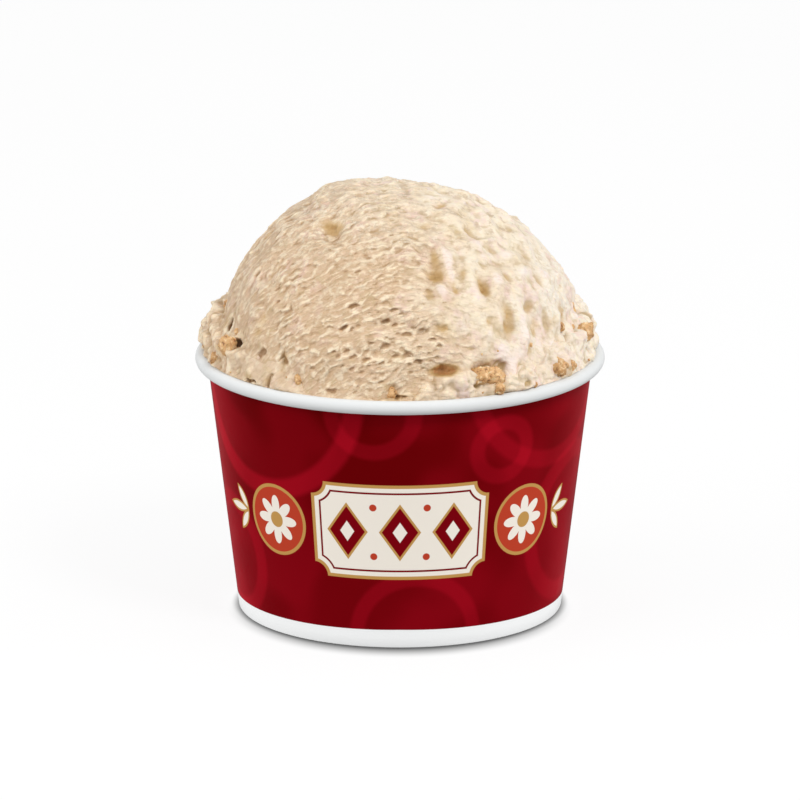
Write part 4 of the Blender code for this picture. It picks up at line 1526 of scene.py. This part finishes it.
def crumb_sink(azimuth, elevation):
    """How deep a large crumb is set, as a share of its length: a few show only their top."""
    place = round(math.degrees(azimuth), 1), round(math.degrees(elevation), 1)
    return 0.50 if place in SUNKEN_CRUMBS else 0.12


def crumbs_piece(name, places, seed, rounds, sink, finish):
    """All these crumbs as one mesh piece, with their rounds of division and their sink as functions."""
    draw = random.Random(seed)
    points, faces = [], []
    for azimuth, elevation, length in places:
        hit, direction = on_surface(azimuth, elevation)
        if hit is None:
            continue
        beyond = math.hypot(hit.x, hit.y) + 0.3 * length - WIDEST_RADIUS
        if beyond > 0.0:
            hit = hit - Vector((direction.x, direction.y, 0.0)).normalized() * beyond
        hit.z = max(hit.z, CUP_HEIGHT + CLEARANCE + 0.3 * length)
        own, own_faces = crumb_shape(draw, length, rounds(length))
        start = len(points)
        depth = sink(azimuth, elevation) * length
        points += [tuple(hit - direction * depth + p) for p in own]
        faces += [[start + i for i in face] for face in own_faces]
    points = drawn_in(np.array(points), WIDEST_RADIUS + CRUMB_MARGIN)
    return mesh_piece(name, points, faces, finish, "ice_cream")


crumb_rounds = 4
crumbs_piece("toffee_crumbs", crumb_places, 21, lambda length: crumb_rounds, crumb_sink, crumb_finish)

# %% [markdown]
# ## The finest crumbs
# Around the large crumbs lie small bits of 0.7 to 2.2 mm, densest in the torn
# collar and on the paler side. They are one mesh, each bit with its own shape and
# turn.

# %% Small crumbs
BIT_SINK = 0.2
LARGE_FROM = 4.5
FRONT_END = 0.3


def small_places():
    """Places beside the large crumbs, then low all round with few in front, then higher behind."""
    draw = random.Random(31)
    for azimuth, elevation, length in crumb_places:
        for _ in range(2 if length > LARGE_FROM else 0):
            yield azimuth + draw.gauss(0, 0.09), elevation + draw.gauss(0, 0.06), draw.uniform(0.7, 1.8)
    low = spread_crumbs(64, 0.7, 2.2, 32, highest=12.0, lowest=8.5, bare_front=False)
    for azimuth, elevation, length in low:
        if azimuth >= FRONT_END or draw.random() < 0.25:
            yield azimuth, elevation, length
    high = spread_crumbs(60, 0.8, 1.6, 33, highest=50.0, lowest=12.0, bare_front=False)
    for azimuth, elevation, length in high:
        if azimuth > 0.2 and math.cos(azimuth) > 0.5 * draw.random():
            yield azimuth, elevation, length


def bit_rounds(length):
    return 3 if length > 1.3 else 2


crumbs_piece("toffee_bits", small_places(), 41, bit_rounds, lambda *place: BIT_SINK, bit_finish)

# %% [markdown]
# ## Floor and light
# The cup stands on plain white with hardly a shadow. The floor glows, except in a
# painted contact shadow: a ring round the foot where the glow is turned down,
# widest in front. A floor that bright would also light every ridge from below
# and wash its shadow out, as a photographer knows who hides it with black card,
# so here it is hidden from the rays that carry light between surfaces. The
# surroundings are brighter above than below, one lamp high in front gives the
# form, and broad ones fill in at both sides.

# %% Floor
FLOOR_HALF = 5.0
FLOOR_GLOW = 0.868
FLOOR_DROP = 0.0001


def grey(value):
    return value, value, value


def floor_finish():
    made, tree, place, x, y, _ = new_finish("white_floor")
    cloud = noise_field(tree, place, 300.0)
    # Painted contact shadow: the glow fades out in a ring round the foot, wider in front.
    near = x.length_with(y).step(FOOT_RADIUS - 1.2, FOOT_RADIUS + 2.0)
    front = x.length_with(y + 5.0).step(FOOT_RADIUS - 6.5, FOOT_RADIUS + 3.0)
    return finished(made, {
        "Base Color": mixed(tree, cloud, grey(0.10), grey(0.12)),
        "Roughness": 0.9,
        "Specular IOR Level": 0.1,
        "Emission Color": mixed(tree, near * front * FLOOR_GLOW, grey(0.0), grey(1.0)),
        "Emission Strength": 1.0,
    })


floor_mesh = bpy.data.meshes.new("floor")
corners = [(-FLOOR_HALF, -FLOOR_HALF, 0), (FLOOR_HALF, -FLOOR_HALF, 0)]
corners += [(FLOOR_HALF, FLOOR_HALF, 0), (-FLOOR_HALF, FLOOR_HALF, 0)]
floor_mesh.from_pydata(corners, [], [(0, 1, 2, 3)])
floor_mesh.materials.append(floor_finish())
floor = placed("floor", floor_mesh)
floor.location.z = -FLOOR_DROP
floor.visible_diffuse = False
floor.visible_glossy = False

# %% Lights
LAMPS_AIM = Vector((0.0, 0.0, 0.05))
WORLD_BELOW, WORLD_ABOVE = 0.54, 0.70


def soft_lamp(name, place, size, power):
    """A square lamp that faces the cup."""
    data = bpy.data.lights.new(name, "AREA")
    data.size = size
    data.energy = power
    lamp = placed(name, data)
    lamp.location = place
    lamp.rotation_euler = (Vector(place) - LAMPS_AIM).to_track_quat("Z", "Y").to_euler()
    print(name, "at", place, "with", power, "W")


soft_lamp("key_lamp", (0.56, -0.68, 1.00), 0.35, 6.4)
soft_lamp("fill_lamp", (-1.00, -0.36, 0.50), 0.9, 6.0)
soft_lamp("side_lamp", (0.95, -0.25, 0.40), 0.6, 2.0)
world = bpy.data.worlds.new("studio")
world.use_nodes = True
tree = world.node_tree
background = tree.nodes["Background"]
height_of_sight = split(node_field(tree, "TexCoord", {}, "Generated"))[2]
sky = mixed(tree, height_of_sight.step(-0.25, 0.45), grey(WORLD_BELOW), grey(WORLD_ABOVE))
plug(tree, background.inputs["Color"], sky)
background.inputs["Strength"].default_value = 1.0
bpy.context.scene.world = world
bpy.context.scene.view_settings.view_transform = "Standard"
